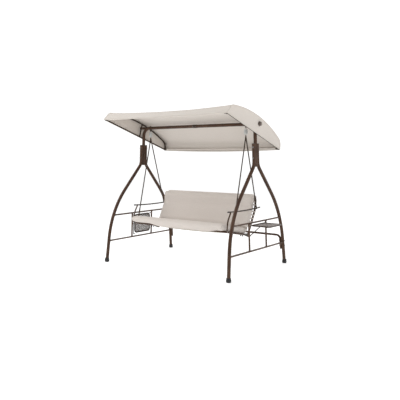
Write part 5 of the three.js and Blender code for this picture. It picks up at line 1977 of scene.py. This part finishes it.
    def brackets(self) -> None:
        """Hinge plates between seat and back, with bolts and the two stop screws below."""
        shop = self.shop
        bolts: list[tuple[Vector, Vector]] = []
        for side in Side:
            s = side.sign
            low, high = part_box(f"recline_bracket_{side.word}")
            outer = high.x if s > 0 else low.x
            inner = outer - s * 0.004
            y = self.rear[0] - 0.062
            corners = [(y, self.seat_z(y) - 0.012), (self.hinge[0] - 0.006, self.hinge[1] - 0.026),
                       (self.hinge[0] + 0.016, self.hinge[1] - 0.014),
                       (self.hinge[0] + 0.016, self.hinge[1] + 0.012),
                       (self.hinge[0] - 0.004, self.hinge[1] + 0.018), (y, self.seat_z(y) + 0.012)]
            closed = [Vector((inner, shop.middle.y + a, b)) for a, b in corners]
            soft = []
            for i, corner in enumerate(closed):
                before, after = closed[i - 1], closed[(i + 1) % len(closed)]
                start = corner + (before - corner).normalized() * 0.005
                end = corner + (after - corner).normalized() * 0.005
                for k in range(5):
                    t = k / 4
                    soft.append(start * (1 - t) ** 2 + corner * 2 * t * (1 - t) + end * t * t)
            plate = Shape()
            plate.plate(soft, ACROSS * (s * 0.004))
            pin_at = Vector((outer, shop.middle.y + self.hinge[0], self.hinge[1]))
            depth = abs(outer - (shop.middle.x + s * (self.half_x - self.tube_d / 2 - 0.003)))
            plate.lathe([(0, 0), (0.004, 0), (0.004, depth - 0.0008), (0.0032, depth), (0, depth)],
                        pin_at, ACROSS * -s, sides=20)
            piece = plate.to_object(f"hinge_plate_{side.word}", [shop.finishes.dark])
            shop.ship(piece, "seat", Slot.DARK, f"recline_bracket_{side.word}")
            bolts.append((pin_at, ACROSS * s))
            for back in (0.045, 0.020):
                y = self.rear[0] - back
                bolts.append((Vector((outer, shop.middle.y + y, self.seat_z(y))), ACROSS * s))
            stops = Shape()
            for back in (0.112, 0.076):
                y = self.rear[0] - back
                at = shop.at(s * self.half_x, y, self.seat_z(y) - self.tube_d / 2)
                stops.lathe([(0, -0.002), (0.0032, -0.002), (0.0032, 0.004), (0.0068, 0.0045),
                             (0.0074, 0.0065), (0.0074, 0.0115), (0.0060, 0.0135), (0, 0.014)],
                            at, -UP, sides=28,
                            flute=lambda angle, height: 1 + 0.05 * math.cos(8 * angle) * (height > 0.005))
            knobs = stops.to_object(f"stop_screws_{side.word}", [shop.finishes.black])
            shop.ship(knobs, "seat", Slot.BLACK)
        heads = shop.recipes.bolt.bake("hinge_bolts", spots_of(bolts), shop.finishes.screw, sharp=25.0,
                                       Head=0.012, Height=0.0045)
        shop.ship(heads, "seat", Slot.DARK)

    def armrests(self) -> None:
        """Bowed armrests with black end caps, their supports, and the screws that hold them."""
        shop = self.shop
        screws: list[tuple[Vector, Vector]] = []
        for side in Side:
            s = side.sign
            x = s * self.arm_x
            ys = np.linspace(self.arm_y[0], self.arm_y[1], 41)
            line = [shop.at(x, y, self.arm_height(y)) for y in ys]
            arm = Shape()
            arm.sweep(line[1:-1], oval(self.arm_d, self.arm_d * 0.94, 20, 2.2), UP)
            for tip, before in ((line[0], line[1]), (line[-1], line[-2])):
                way = (tip - before).normalized()
                r = self.arm_d / 2
                arm.lathe([(0, -0.002), (r + 0.0004, -0.002), (r + 0.0007, 0.004), (r - 0.0004, 0.0105),
                           (r - 0.003, 0.0150), (0, 0.0162)], before, way, finish=1, sides=28)
            piece = arm.to_object(f"bowed_armrest_{side.word}", [shop.finishes.dark, shop.finishes.black])
            shop.ship(piece, "seat", Slot.DARK, f"armrest_{side.word}")
            top_y, foot_y = -0.270, -0.338
            top = shop.at(x, top_y, self.arm_height(top_y) - self.arm_d / 2)
            seat = self.seat_z(foot_y)
            foot = shop.at(x, foot_y, seat + 0.018)
            bow = shop.at(x, (top_y + foot_y) / 2 - 0.024, (top.z + foot.z) / 2)
            low = shop.at(x, foot_y, seat)
            rise = rounded([(top, 0.0), (bow, 0.160), (low, 0.0)])
            support = Shape()
            support.sweep(rise, oval(self.support_d, self.support_d, 20), BACKWARD,
                          scale=lambda t: 1.0 - 0.12 * max(0.0, (t - 0.8) / 0.2))
            piece = support.to_object(f"arm_support_tube_{side.word}", [shop.finishes.bronze])
            shop.ship(piece, "seat", Slot.BRONZE, f"arm_support_{side.word}")
            screws.append((shop.at(x + s * self.support_d / 2, foot_y, seat), ACROSS * s))
            screws.append((shop.at(x, top_y, self.arm_height(top_y) + self.arm_d * 0.46), UP))
            screws.append((shop.at(x, 0.245, self.arm_height(0.245) + self.arm_d * 0.46), UP))
        heads = shop.recipes.screw.bake("armrest_screws", spots_of(screws), shop.finishes.zinc,
                                        Head=0.0088, Height=0.003)
        shop.ship(heads, "seat", Slot.ZINC)

    def build(self) -> None:
        """Makes and dresses the seat's and the back's metalwork."""
        self.frames()
        self.sling()
        self.brackets()
        self.armrests()


# ------------------------------------------------------------------------------ cushions


@dataclass(frozen=True)
class Puff:
    """How a cushion is blown up from its slack cover."""

    voxel: float = 0.0085
    pressure: float = 4.0
    frames: int = 20
    cap: float = 0.020
    slack: float = 0.010

    def inflate(self, piece: bpy.types.Object) -> None:
        """Remeshes the cover and lets pressure round it, by no more than the cap.

        Args:
            piece: a closed mesh a little smaller than the finished cushion.
        """
        remesh = piece.modifiers.new("voxels", "REMESH")
        remesh.mode = "VOXEL"
        remesh.voxel_size = self.voxel
        apply_all(piece)
        start = coordinates(piece.data)
        cloth = piece.modifiers.new("pressure", "CLOTH")
        cloth.settings.quality = 4
        cloth.settings.mass = 0.3
        cloth.settings.tension_stiffness = 18
        cloth.settings.compression_stiffness = 18
        cloth.settings.shear_stiffness = 8
        cloth.settings.bending_stiffness = 0.6
        cloth.settings.use_pressure = True
        cloth.settings.uniform_pressure_force = self.pressure
        cloth.settings.effector_weights.gravity = 0.0
        cloth.point_cache.frame_end = self.frames
        scene = bpy.context.scene
        for frame in range(1, self.frames + 1):
            scene.frame_set(frame)
        depsgraph = bpy.context.evaluated_depsgraph_get()
        blown = coordinates(piece.evaluated_get(depsgraph).data)
        piece.modifiers.clear()
        scene.frame_set(1)
        move = blown - start
        length = np.linalg.norm(move, axis=1, keepdims=True)
        move *= np.minimum(1.0, self.cap / np.maximum(length, 1e-9))
        piece.data.vertices.foreach_set("co", (start + move).astype(np.float32).ravel())
        piece.data.update()


def coordinates(mesh: bpy.types.Mesh) -> np.ndarray:
    """A mesh's points as an array."""
    flat = np.empty(len(mesh.vertices) * 3, np.float32)
    mesh.vertices.foreach_get("co", flat)
    return flat.reshape(-1, 3).astype(float)


@dataclass
class Cushion:
    """One padded cushion, from its side outline, with piping round its ends and sewn rows."""

    shop: Shop
    name: str
    body: str
    node: str
    outline: list[tuple[float, float]]
    half_x: float
    puff: Puff = field(default_factory=Puff)
    round_r: float = 0.016
    creases: float = 0.0016
    fill: float = 0.7
    droop: float = 0.0

    def section(self, inset: float) -> list[tuple[float, float]]:
        """The side outline with rounded corners, set in by a distance."""
        corners = [Vector((0.0, y, z)) for y, z in self.outline]
        middle = sum(corners, Vector()) / len(corners)
        soft: list[tuple[float, float]] = []
        for i, corner in enumerate(corners):
            before, after = corners[i - 1], corners[(i + 1) % len(corners)]
            room = 0.45 * min((before - corner).length, (after - corner).length)
            cut = min(self.round_r, room)
            start = corner + (before - corner).normalized() * cut
            end = corner + (after - corner).normalized() * cut
            for k in range(6):
                t = k / 5
                p = start * (1 - t) ** 2 + corner * 2 * t * (1 - t) + end * t * t
                inward = middle - p
                p = p + inward.normalized() * inset * min(1.0, 0.25 + abs(inward.normalized().z))
                soft.append((p.y, p.z))
        return soft

    def cover(self) -> bpy.types.Object:
        """The slack cover: the outline carried across, its ends drawn in."""
        ring = self.section(self.puff.slack)
        stations = 26
        rings = []
        for k in range(stations + 1):
            t = 2 * k / stations - 1
            x = (self.half_x - self.puff.slack * 0.6) * t
            rings.append([self.shop.at(x, y, z) for y, z in ring])
        shape = Shape()
        shape.rings(rings)
        return shape.to_object(self.name, [self.shop.finishes.cushion], 180.0)

    def dress(self, piece: bpy.types.Object) -> None:
        """Adds soft creases to the puffed cover and one subdivision."""
        points = coordinates(piece.data)
        normals = np.empty(len(points) * 3, np.float32)
        piece.data.vertices.foreach_get("normal", normals)
        normals = normals.reshape(-1, 3)
        middle = self.shop.middle
        shift = np.empty(len(points))
        for i, p in enumerate(points):
            x = p[0] - middle.x
            end = max(0.0, 1 - (self.half_x - abs(x)) / 0.10)
            fold = noise.noise(Vector((x * 4.0, p[1] * 15.0, p[2] * 15.0)))
            pucker = math.sin(p[1] * 210.0 + 2.2 * math.sin(p[2] * 90.0)) * end * end
            shift[i] = self.creases * (fold - 0.55 * pucker * 0.6)
        points += normals * shift[:, None]
        if self.droop:
            front = min(y for y, _ in self.outline)
            crest = max(z for _, z in self.outline)
            for p in points:
                x, depth = p[0] - middle.x, p[1] - middle.y - front
                span = max(0.0, min(1.0, (x + 0.46) / 0.26)) * max(0.0, min(1.0, (0.60 - x) / 0.16))
                span = span * span * (3 - 2 * span)
                ahead = max(0.0, min(1.0, (0.050 - depth) / 0.010))
                low = max(0.15, min(1.0, (crest - p[2]) / 0.045))
                p[2] -= self.droop * span * ahead * low
        piece.data.vertices.foreach_set("co", points.astype(np.float32).ravel())
        piece.data.update()
        smooth = piece.modifiers.new("soften", "SMOOTH")
        smooth.factor, smooth.iterations = 0.5, 2
        finer = piece.modifiers.new("finer", "SUBSURF")
        finer.levels = finer.render_levels = 1
        apply_all(piece, 180.0)

    def seams(self, piece: bpy.types.Object) -> list[bpy.types.Object]:
        """Piping round both ends and stitches beside it, laid on the finished surface.

        Args:
            piece: the finished cushion.

        Returns:
            The piping and the stitches.
        """
        tree = BVHTree.FromObject(piece, bpy.context.evaluated_depsgraph_get())
        piping = Shape()
        rows: list[Line] = []
        ring = self.section(0.0)
        for side in Side:
            loop, inner = [], []
            for y, z in ring:
                for store, inset, proud in ((loop, 0.012, 0.0006), (inner, 0.024, 0.0003)):
                    aim = self.shop.at(side.sign * (self.half_x - inset), y, z)
                    spot, normal, _, _ = tree.find_nearest(aim)
                    store.append(spot + normal * proud)
            loop = smoothed(resampled(loop + loop[:1], 0.012)[:-1], 3)
            piping.sweep(loop, oval(0.0074, 0.0074, 10), ACROSS, closed=True)
            rows.append(resampled(smoothed(inner, 1) + inner[:1], 0.006))
        trim = piping.to_object(f"{self.name}_piping", [self.shop.finishes.cushion_trim], 60.0)
        sewn = self.shop.recipes.stitch.bake(f"{self.name}_stitches", edges_of(rows),
                                             self.shop.finishes.thread, 60.0, Spacing=0.0095,
                                             Length=0.006, Thread=0.0013, Seed=11)
        return [trim, sewn]

    def build(self) -> bpy.types.Object:
        """Makes and dresses the cushion.

        Returns:
            The cushion.
        """
        piece = self.cover()
        self.puff.inflate(piece)
        self.dress(piece)
        trims = self.seams(piece)
        self.shop.ship(piece, self.body, Slot.CUSHION, self.node)
        for trim in trims:
            self.shop.ship(trim, self.body, Slot.CUSHION)
        return piece


def smoothed(loop: Line, rounds: int) -> Line:
    """A closed line's points, each drawn towards its neighbours."""
    for _ in range(rounds):
        loop = [(loop[i - 1] + loop[i] * 2 + loop[(i + 1) % len(loop)]) / 4 for i in range(len(loop))]
    return loop


@dataclass
class Cushions:
    """Seat and back cushions, the cloth hinge between them, and the ties to the back tube."""

    shop: Shop
    seat: SeatFrame
    half_x: float = 0.66302
    seat_outline: tuple[tuple[float, float], ...] = (
        (-0.374, 0.0032), (-0.404, 0.006), (-0.414, 0.028), (-0.408, 0.048), (-0.386, 0.062),
        (-0.350, 0.067), (0.128, 0.055), (0.096, 0.0045))
    tie_places: tuple[float, ...] = (-0.200, -0.158, -0.116, -0.074, -0.032, 0.054, 0.090)
    back_outline: tuple[tuple[float, float], ...] = (
        (-0.264, 0.0618), (-0.240, 0.0113), (-0.0045, 0.0113), (0.140, 0.0113), (0.168, 0.016),
        (0.176, 0.036), (0.162, 0.055), (0.120, 0.0618), (-0.0142, 0.0618))

    def seat_points(self) -> list[tuple[float, float]]:
        """The seat cushion's outline, standing on the side tubes."""
        lift = self.seat.tube_d / 2
        return [(y, self.seat.seat_z(y) + lift + up) for y, up in self.seat_outline]

    def off_back(self, along: float, out: float) -> tuple[float, float]:
        """A place by the back tubes.

        Args:
            along: distance up the tube from its bend, negative down the lower part.
            out: distance ahead of the tube's middle.

        Returns:
            Its depth and height.
        """
        hinge, knee, top = self.seat.hinge, self.seat.knee, self.seat.top
        start, end = (hinge, knee) if along < 0 else (knee, top)
        rise = math.atan2(end[1] - start[1], end[0] - start[0])
        return (knee[0] + along * math.cos(rise) - out * math.sin(rise),
                knee[1] + along * math.sin(rise) + out * math.cos(rise))

    def back_points(self) -> list[tuple[float, float]]:
        """The back cushion's outline, lying against the back tubes."""
        return [self.off_back(along, self.seat.tube_d / 2 + ahead) for along, ahead in self.back_outline]

    def pocket(self) -> None:
        """The cloth pocket by which the back cushion hangs over the top of the back tube."""
        shop = self.shop
        top = math.dist(self.seat.knee, self.seat.top)
        section = [(top - 0.030, 0.042), (top - 0.008, 0.042), (top + 0.006, 0.034),
                   (top + 0.0150, 0.022), (top + 0.0172, 0.008), (top + 0.0168, -0.004),
                   (top + 0.0120, -0.0125), (top, -0.0158),
                   (top - 0.020, -0.0160), (top - 0.045, -0.0155), (top - 0.075, -0.0150)]
        columns = 90
        half = self.half_x - 0.006
        points = []
        for u, v in section:
            for k in range(columns + 1):
                x = half * (2 * k / columns - 1)
                edge = max(0.0, (abs(x) - half + 0.05) / 0.05)
                ripple = noise.noise(Vector((x * 12, u * 30, v * 30))) * 0.0014
                y, z = self.off_back(u - 0.020 * edge * edge, v + ripple * (1 if v < 0 else 0.4))
                points.append(shop.at(x, y, z))
        wide = columns + 1
        faces = [(r * wide + k, r * wide + k + 1, (r + 1) * wide + k + 1, (r + 1) * wide + k)
                 for r in range(len(section) - 1) for k in range(columns)]
        mesh = bpy.data.meshes.new("back_pocket_cloth")
        mesh.from_pydata([tuple(p) for p in points], [], faces)
        mesh.materials.append(shop.finishes.cushion)
        cloth = link(bpy.data.objects.new("back_pocket_cloth", mesh))
        thick = cloth.modifiers.new("cloth", "SOLIDIFY")
        thick.thickness, thick.offset = 0.0018, 0.0
        finer = cloth.modifiers.new("finer", "SUBSURF")
        finer.levels = finer.render_levels = 1
        apply_all(cloth, 80.0)
        shop.ship(cloth, "back", Slot.CUSHION)
        hem = Shape()
        y, z = self.off_back(section[-1][0] + 0.008, section[-1][1])
        hem.sweep([shop.at(x, y, z) for x in np.linspace(-half + 0.004, half - 0.004, 60)],
                  oval(0.0040, 0.018, 10, 3.0), UP)
        edge = hem.to_object("back_pocket_hem", [shop.finishes.cushion_trim], 60.0)
        shop.ship(edge, "back", Slot.CUSHION)

    def hinge_cloth(self) -> None:
        """The strip of cover cloth that joins the two cushions and bends at the hinge."""
        shop = self.shop
        seat, back = self.seat_points(), self.back_points()
        start = Vector((0.0, seat[6][0] - 0.006, seat[6][1] - 0.012))
        end = Vector((0.0, back[1][0] - 0.006, back[1][1] + 0.012))
        mid = (start + end) / 2 + Vector((0.0, 0.016, 0.0))
        columns, rows = 70, 12
        half = self.half_x - 0.022
        points = []
        for r in range(rows + 1):
            t = r / rows
            p = start * (1 - t) ** 2 + mid * 2 * t * (1 - t) + end * t * t
            for k in range(columns + 1):
                x = half * (2 * k / columns - 1)
                ruffle = 0.0012 * math.sin(x * 95.0) * math.sin(math.pi * t)
                points.append(shop.at(x, p.y, p.z + ruffle))
        wide = columns + 1
        faces = [(r * wide + k, r * wide + k + 1, (r + 1) * wide + k + 1, (r + 1) * wide + k)
                 for r in range(rows) for k in range(columns)]
        mesh = bpy.data.meshes.new("cushion_hinge_cloth")
        mesh.from_pydata([tuple(p) for p in points], [], faces)
        mesh.materials.append(shop.finishes.cushion)
        strip = link(bpy.data.objects.new("cushion_hinge_cloth", mesh))
        thick = strip.modifiers.new("cloth", "SOLIDIFY")
        thick.thickness, thick.offset = 0.0016, -1.0
        apply_all(strip, 60.0)
        tuple(shop.at(0, start.y, start.z))
        tuple(shop.at(0, end.y, end.z))
        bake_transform(strip)

    def ties(self) -> None:
        """Loops of cloth tape that lace the cushion's edges to the back tubes."""
        shop = self.shop
        r = self.seat.tube_d / 2 + 0.0017
        tape = Shape()
        for side in Side:
            for along in self.tie_places:
                y, z = self.off_back(along, 0.0)
                y1, z1 = self.off_back(along, 1.0)
                at = shop.at(side.sign * self.seat.half_x, y, z)
                ahead = Vector((0.0, y1 - y, z1 - z))
                out = ACROSS * side.sign
                tail = [at + ahead * (r + 0.012) - out * 0.020, at + ahead * (r + 0.002) - out * 0.006]
                ring = [at + ahead * (r * math.cos(turn)) + out * (r * math.sin(turn))
                        for turn in np.linspace(0.05, 2 * math.pi - 0.35, 25)]
                tape.sweep(tail + ring, oval(0.0015, 0.015, 12, 4.0), ahead.cross(out))
        piece = tape.to_object("cushion_ties", [shop.finishes.cushion_trim], 60.0)
        shop.ship(piece, "back", Slot.CUSHION)

    def build(self) -> None:
        """Makes and dresses both cushions and what joins them."""
        Cushion(self.shop, "seat_pad", "seat", "seat_cushion", self.seat_points(), self.half_x,
                puff=Puff(slack=0.008, cap=0.010), round_r=0.018, droop=0.030).build()
        Cushion(self.shop, "back_pad", "back", "back_cushion", self.back_points(), self.half_x,
                puff=Puff(slack=0.006, cap=0.009), round_r=0.014).build()
        self.hinge_cloth()
        self.pocket()
        self.ties()


# ------------------------------------------------------------------------------ side tables


@dataclass
class SideTable:
    """A folding side table: a bent hoop, a panel of expanded metal and one strut."""

    shop: Shop
    side: Side
    stand: Stand
    length: float = 0.232
    half_y: float = 0.137
    tube_d: float = 0.0155
    corner_r: float = 0.034
    pin_d: float = 0.008
    strut_drop: float = 0.105
    strut_d: float = 0.0100
    strut_y: float = -0.155
    strut_reach: float = 0.105
    cell: tuple[float, float] = (0.0095, 0.0052)
    strand_w: float = 0.0038
    strand_t: float = 0.0014

    @property
    def folded(self) -> bool:
        """Whether this table hangs down at rest."""
        return self.side is Side.LEFT

    def out(self, a: float, y: float, up: float = 0.0) -> Vector:
        """A point of the table: a out from the hinge, y along it, up from the top's middle."""
        pivot = self.shop.joint_at(f"table_{self.side.word}_fold")
        hinge = Vector((pivot.x, self.shop.middle.y, pivot.z))
        if self.folded:
            return hinge + Vector((up, y, -a))
        return hinge + Vector((a, y, up))

    def hoop(self) -> None:
        """The bent hoop and its hinge pins."""
        shop, word = self.shop, self.side.word
        reach = self.length - self.tube_d / 2
        corners = [self.out(0, 0), self.out(0, self.half_y), self.out(reach, self.half_y),
                   self.out(reach, -self.half_y), self.out(0, -self.half_y), self.out(0, 0)]
        radii = (0.0, self.corner_r, self.corner_r, self.corner_r, self.corner_r, 0.0)
        line = rounded(list(zip(corners, radii)))[:-1]
        hoop = shop.tubes(f"table_hoop_{word}", [line], self.tube_d, shop.finishes.dark, closed=True,
                          sides=20)
        shop.ship(hoop, f"table_{word}", Slot.DARK, f"table_frame_{word}")
        pins = Shape()
        end = self.stand.upright_y - self.stand.upright_d / 2 + 0.007
        for way in (-1, 1):
            start = self.out(0, way * (self.half_y - 0.004))
            tip = self.out(0, way * end)
            length = (tip - start).length
            r = self.pin_d / 2
            pins.lathe([(0, 0), (r, 0), (r, 0.016), (r + 0.0035, 0.0165), (r + 0.0035, 0.0205),
                        (r, 0.021), (r, length), (0, length)], start, BACKWARD * way, sides=20)
        piece = pins.to_object(f"table_pins_{word}", [shop.finishes.screw])
        shop.ship(piece, f"table_{word}", Slot.DARK)

    def inside(self, a: float, y: float) -> bool:
        """Whether a place lies within the panel's rounded rectangle."""
        inner = self.tube_d / 2 - 0.001
        low, high = inner, self.length - self.tube_d / 2 - inner
        half = self.half_y - inner
        if not (low <= a <= high and abs(y) <= half):
            return False
        r = self.corner_r - inner
        da = max(low + r - a, a - (high - r), 0.0)
        dy = max(abs(y) - (half - r), 0.0)
        return math.hypot(da, dy) <= r

    def panel(self) -> None:
        """Expanded metal: a lattice of flat strands, cut off inside the hoop."""
        shop, word = self.shop, self.side.word
        long, short = self.cell
        lines: list[Line] = []
        columns, rows = int(self.length / short) + 2, int(2 * self.half_y / long) + 3
        lift = 0.0016
        for i in range(columns):
            for j in range(-rows, rows + 1):
                if (i + j) % 2:
                    continue
                a, y = i * short, j * long / 2
                for way in (-1, 1):
                    b, z = a + short, y + way * long / 2
                    if self.inside(a, y) and self.inside(b, z):
                        lines.append([self.out(a, y, 0.0004), self.out((a + b) / 2, (y + z) / 2, lift),
                                      self.out(b, z, 0.0004)])
        lattice = shop.recipes.strand.bake(f"table_lattice_{word}", edges_of(lines),
                                           shop.finishes.mesh, 30.0, Width=self.strand_w,
                                           Thickness=self.strand_t)
        shop.ship(lattice, f"table_{word}", Slot.MESH, f"table_panel_{word}")
        inner = self.tube_d / 2 + 0.0012
        reach = self.length - self.tube_d / 2
        rim = [self.out(inner, self.half_y - inner), self.out(reach - inner, self.half_y - inner),
               self.out(reach - inner, -self.half_y + inner), self.out(inner, -self.half_y + inner)]
        r = self.corner_r - inner
        loop = rounded([(self.out(inner, 0), 0.0)] + [(p, r) for p in rim] + [(self.out(inner, 0), 0.0)])
        band = Shape()
        normal = self.out(0, 0, 1.0) - self.out(0, 0, 0.0)
        band.sweep(loop[:-1], oval(0.005, 0.0026, 8, 4.0), normal, closed=True)
        piece = band.to_object(f"table_rim_{word}", [shop.finishes.mesh])
        shop.ship(piece, f"table_{word}", Slot.MESH)

    def strut(self) -> None:
        """The strut, with an eye on the upright and a rest pad under the hoop."""
        shop, word = self.shop, self.side.word
        pivot = shop.joint_at(f"strut_{word}_fold")
        foot = Vector((pivot.x, shop.middle.y + self.strut_y, pivot.z))
        top_drop = self.tube_d / 2 + self.strut_d / 2 + 0.001
        lean = math.sin(self.stand.lean) * self.strut_drop
        span = math.hypot(self.strut_reach - lean, self.strut_drop * math.cos(self.stand.lean) - top_drop)
        if self.folded:
            tip = foot + Vector((0, 0, -span))
        else:
            angle = math.atan2(self.strut_drop * math.cos(self.stand.lean) - top_drop,
                               self.strut_reach - lean)
            tip = foot + Vector((math.cos(angle) * span, 0, math.sin(angle) * span))
        rod = shop.tubes(f"table_strut_rod_{word}", [[foot, (foot + tip) / 2, tip]], self.strut_d,
                         shop.finishes.dark, sides=18)
        shop.ship(rod, f"strut_{word}", Slot.DARK, f"table_strut_{word}")
        fittings = Shape()
        end = self.stand.upright_y - self.stand.upright_d / 2 + 0.007
        reach = end - abs(self.strut_y)
        r = self.pin_d / 2
        fittings.lathe([(0, -0.006), (0.0058, -0.006), (0.0066, -0.005), (0.0066, 0.005), (r, 0.0056),
                        (r, reach), (0, reach)], foot, -BACKWARD, sides=20)
        pad = abs(self.strut_y) - self.half_y + 0.002
        fittings.lathe([(0, -0.005), (0.0042, -0.005), (0.0048, -0.004), (0.0048, pad - 0.001),
                        (0.0038, pad), (0, pad)], tip, BACKWARD, sides=20)
        piece = fittings.to_object(f"strut_fittings_{word}", [shop.finishes.dark])
        shop.ship(piece, f"strut_{word}", Slot.DARK)

    def build(self) -> None:
        """Makes and dresses the table."""
        self.hoop()
        self.panel()
        self.strut()


# ------------------------------------------------------------------------------ studio


@dataclass
class Studio:
    """Floor, light and camera."""

    shop: Shop
    eye: tuple[float, float, float] = (3.7037, -4.9021, 1.2780)
    azimuth: float = math.radians(36.534)
    pitch: float = math.radians(-4.946)
    lens: float = 46.943
    sensor: float = 36.0
    backdrop: float = 1.12
    room: float = 0.47
    key: float = 170.0
    floor_r: float = 30.0
    floor_sides: int = 48

    def camera(self) -> None:
        """The camera, standing where the stand's perspective puts it."""
        data = bpy.data.cameras.new("camera")
        data.lens, data.sensor_width = self.lens, self.sensor
        data.clip_end = 100.0
        camera = link(bpy.data.objects.new("camera", data))
        camera.location = self.shop.at(*self.eye)
        camera.rotation_euler = (math.pi / 2 + self.pitch, 0.0, self.azimuth)
        bpy.context.scene.camera = camera

    def lamp(self, name: str, at: tuple[float, float, float], size: float, power: float,
             aim: tuple[float, float, float] = (0.0, 0.0, 0.9)) -> None:
        """A soft square light.

        Args:
            name: its name.
            at: its place.
            size: its side.
            power: its strength in watts.
            aim: the point it faces.
        """
        data = bpy.data.lights.new(name, "AREA")
        data.shape, data.size, data.energy = "SQUARE", size, power
        lamp = link(bpy.data.objects.new(name, data))
        lamp.location = self.shop.at(*at)
        way = self.shop.at(*aim) - lamp.location
        lamp.rotation_euler = way.to_track_quat("-Z", "Y").to_euler()

    def backdrop_world(self) -> bpy.types.World:
        """A bright backdrop behind the bench that dims towards the front of the studio."""
        world = bpy.data.worlds.new("studio_world")
        world.use_nodes = True
        nodes, links = world.node_tree.nodes, world.node_tree.links
        way = nodes.new("ShaderNodeTexCoord").outputs["Generated"]
        depth = nodes.new("ShaderNodeVectorMath")
        depth.operation = "DOT_PRODUCT"
        depth.inputs[1].default_value = (-math.sin(self.azimuth), math.cos(self.azimuth), 0.0)
        links.new(way, depth.inputs[0])
        dim = nodes.new("ShaderNodeMapRange")
        dim.interpolation_type = "SMOOTHSTEP"
        dim.inputs["From Min"].default_value, dim.inputs["From Max"].default_value = -0.3, 0.75
        dim.inputs["To Min"].default_value, dim.inputs["To Max"].default_value = self.room, self.backdrop
        links.new(depth.outputs["Value"], dim.inputs["Value"])
        links.new(dim.outputs["Result"], nodes["Background"].inputs["Strength"])
        nodes["Background"].inputs["Color"].default_value = (1.0, 1.0, 1.0, 1.0)
        return world

    def build(self) -> None:
        """Sets floor, lights, world and camera."""
        self.camera()
        self.lamp("key_light", (-2.6, -4.2, 4.6), 3.2, self.key)
        self.lamp("fill_light", (4.8, -1.0, 2.6), 3.5, 0.30 * self.key)
        self.lamp("rim_light", (-1.0, 4.5, 3.6), 3.0, 0.35 * self.key)
        scene = bpy.context.scene
        scene.world = self.backdrop_world()
        scene.view_settings.view_transform = "Standard"
        floor = Shape()
        turns = [2 * math.pi * k / self.floor_sides for k in range(self.floor_sides)]
        rim = [Vector((self.floor_r * math.cos(a), self.floor_r * math.sin(a), 0)) for a in turns]
        floor.add(rim, [tuple(range(self.floor_sides))])
        ground = floor.to_object("studio_floor", [self.shop.finishes.floor])


def main() -> None:
    """Builds the bench round its frame, one sub-assembly after another, and logs each piece."""
    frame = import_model()
    shop = Shop(frame, Finishes(ShaderKit()), Recipes())
    Studio(shop).build()
    stand = Stand(shop)
    stand.build()
    Canopy(shop).build()
    seat = SeatFrame(shop)
    HangingGear(shop, seat).build()
    seat.build()
    Cushions(shop, seat).build()
    for side in Side:
        SideTable(shop, side, stand).build()


if __name__ == "__main__":
    main()
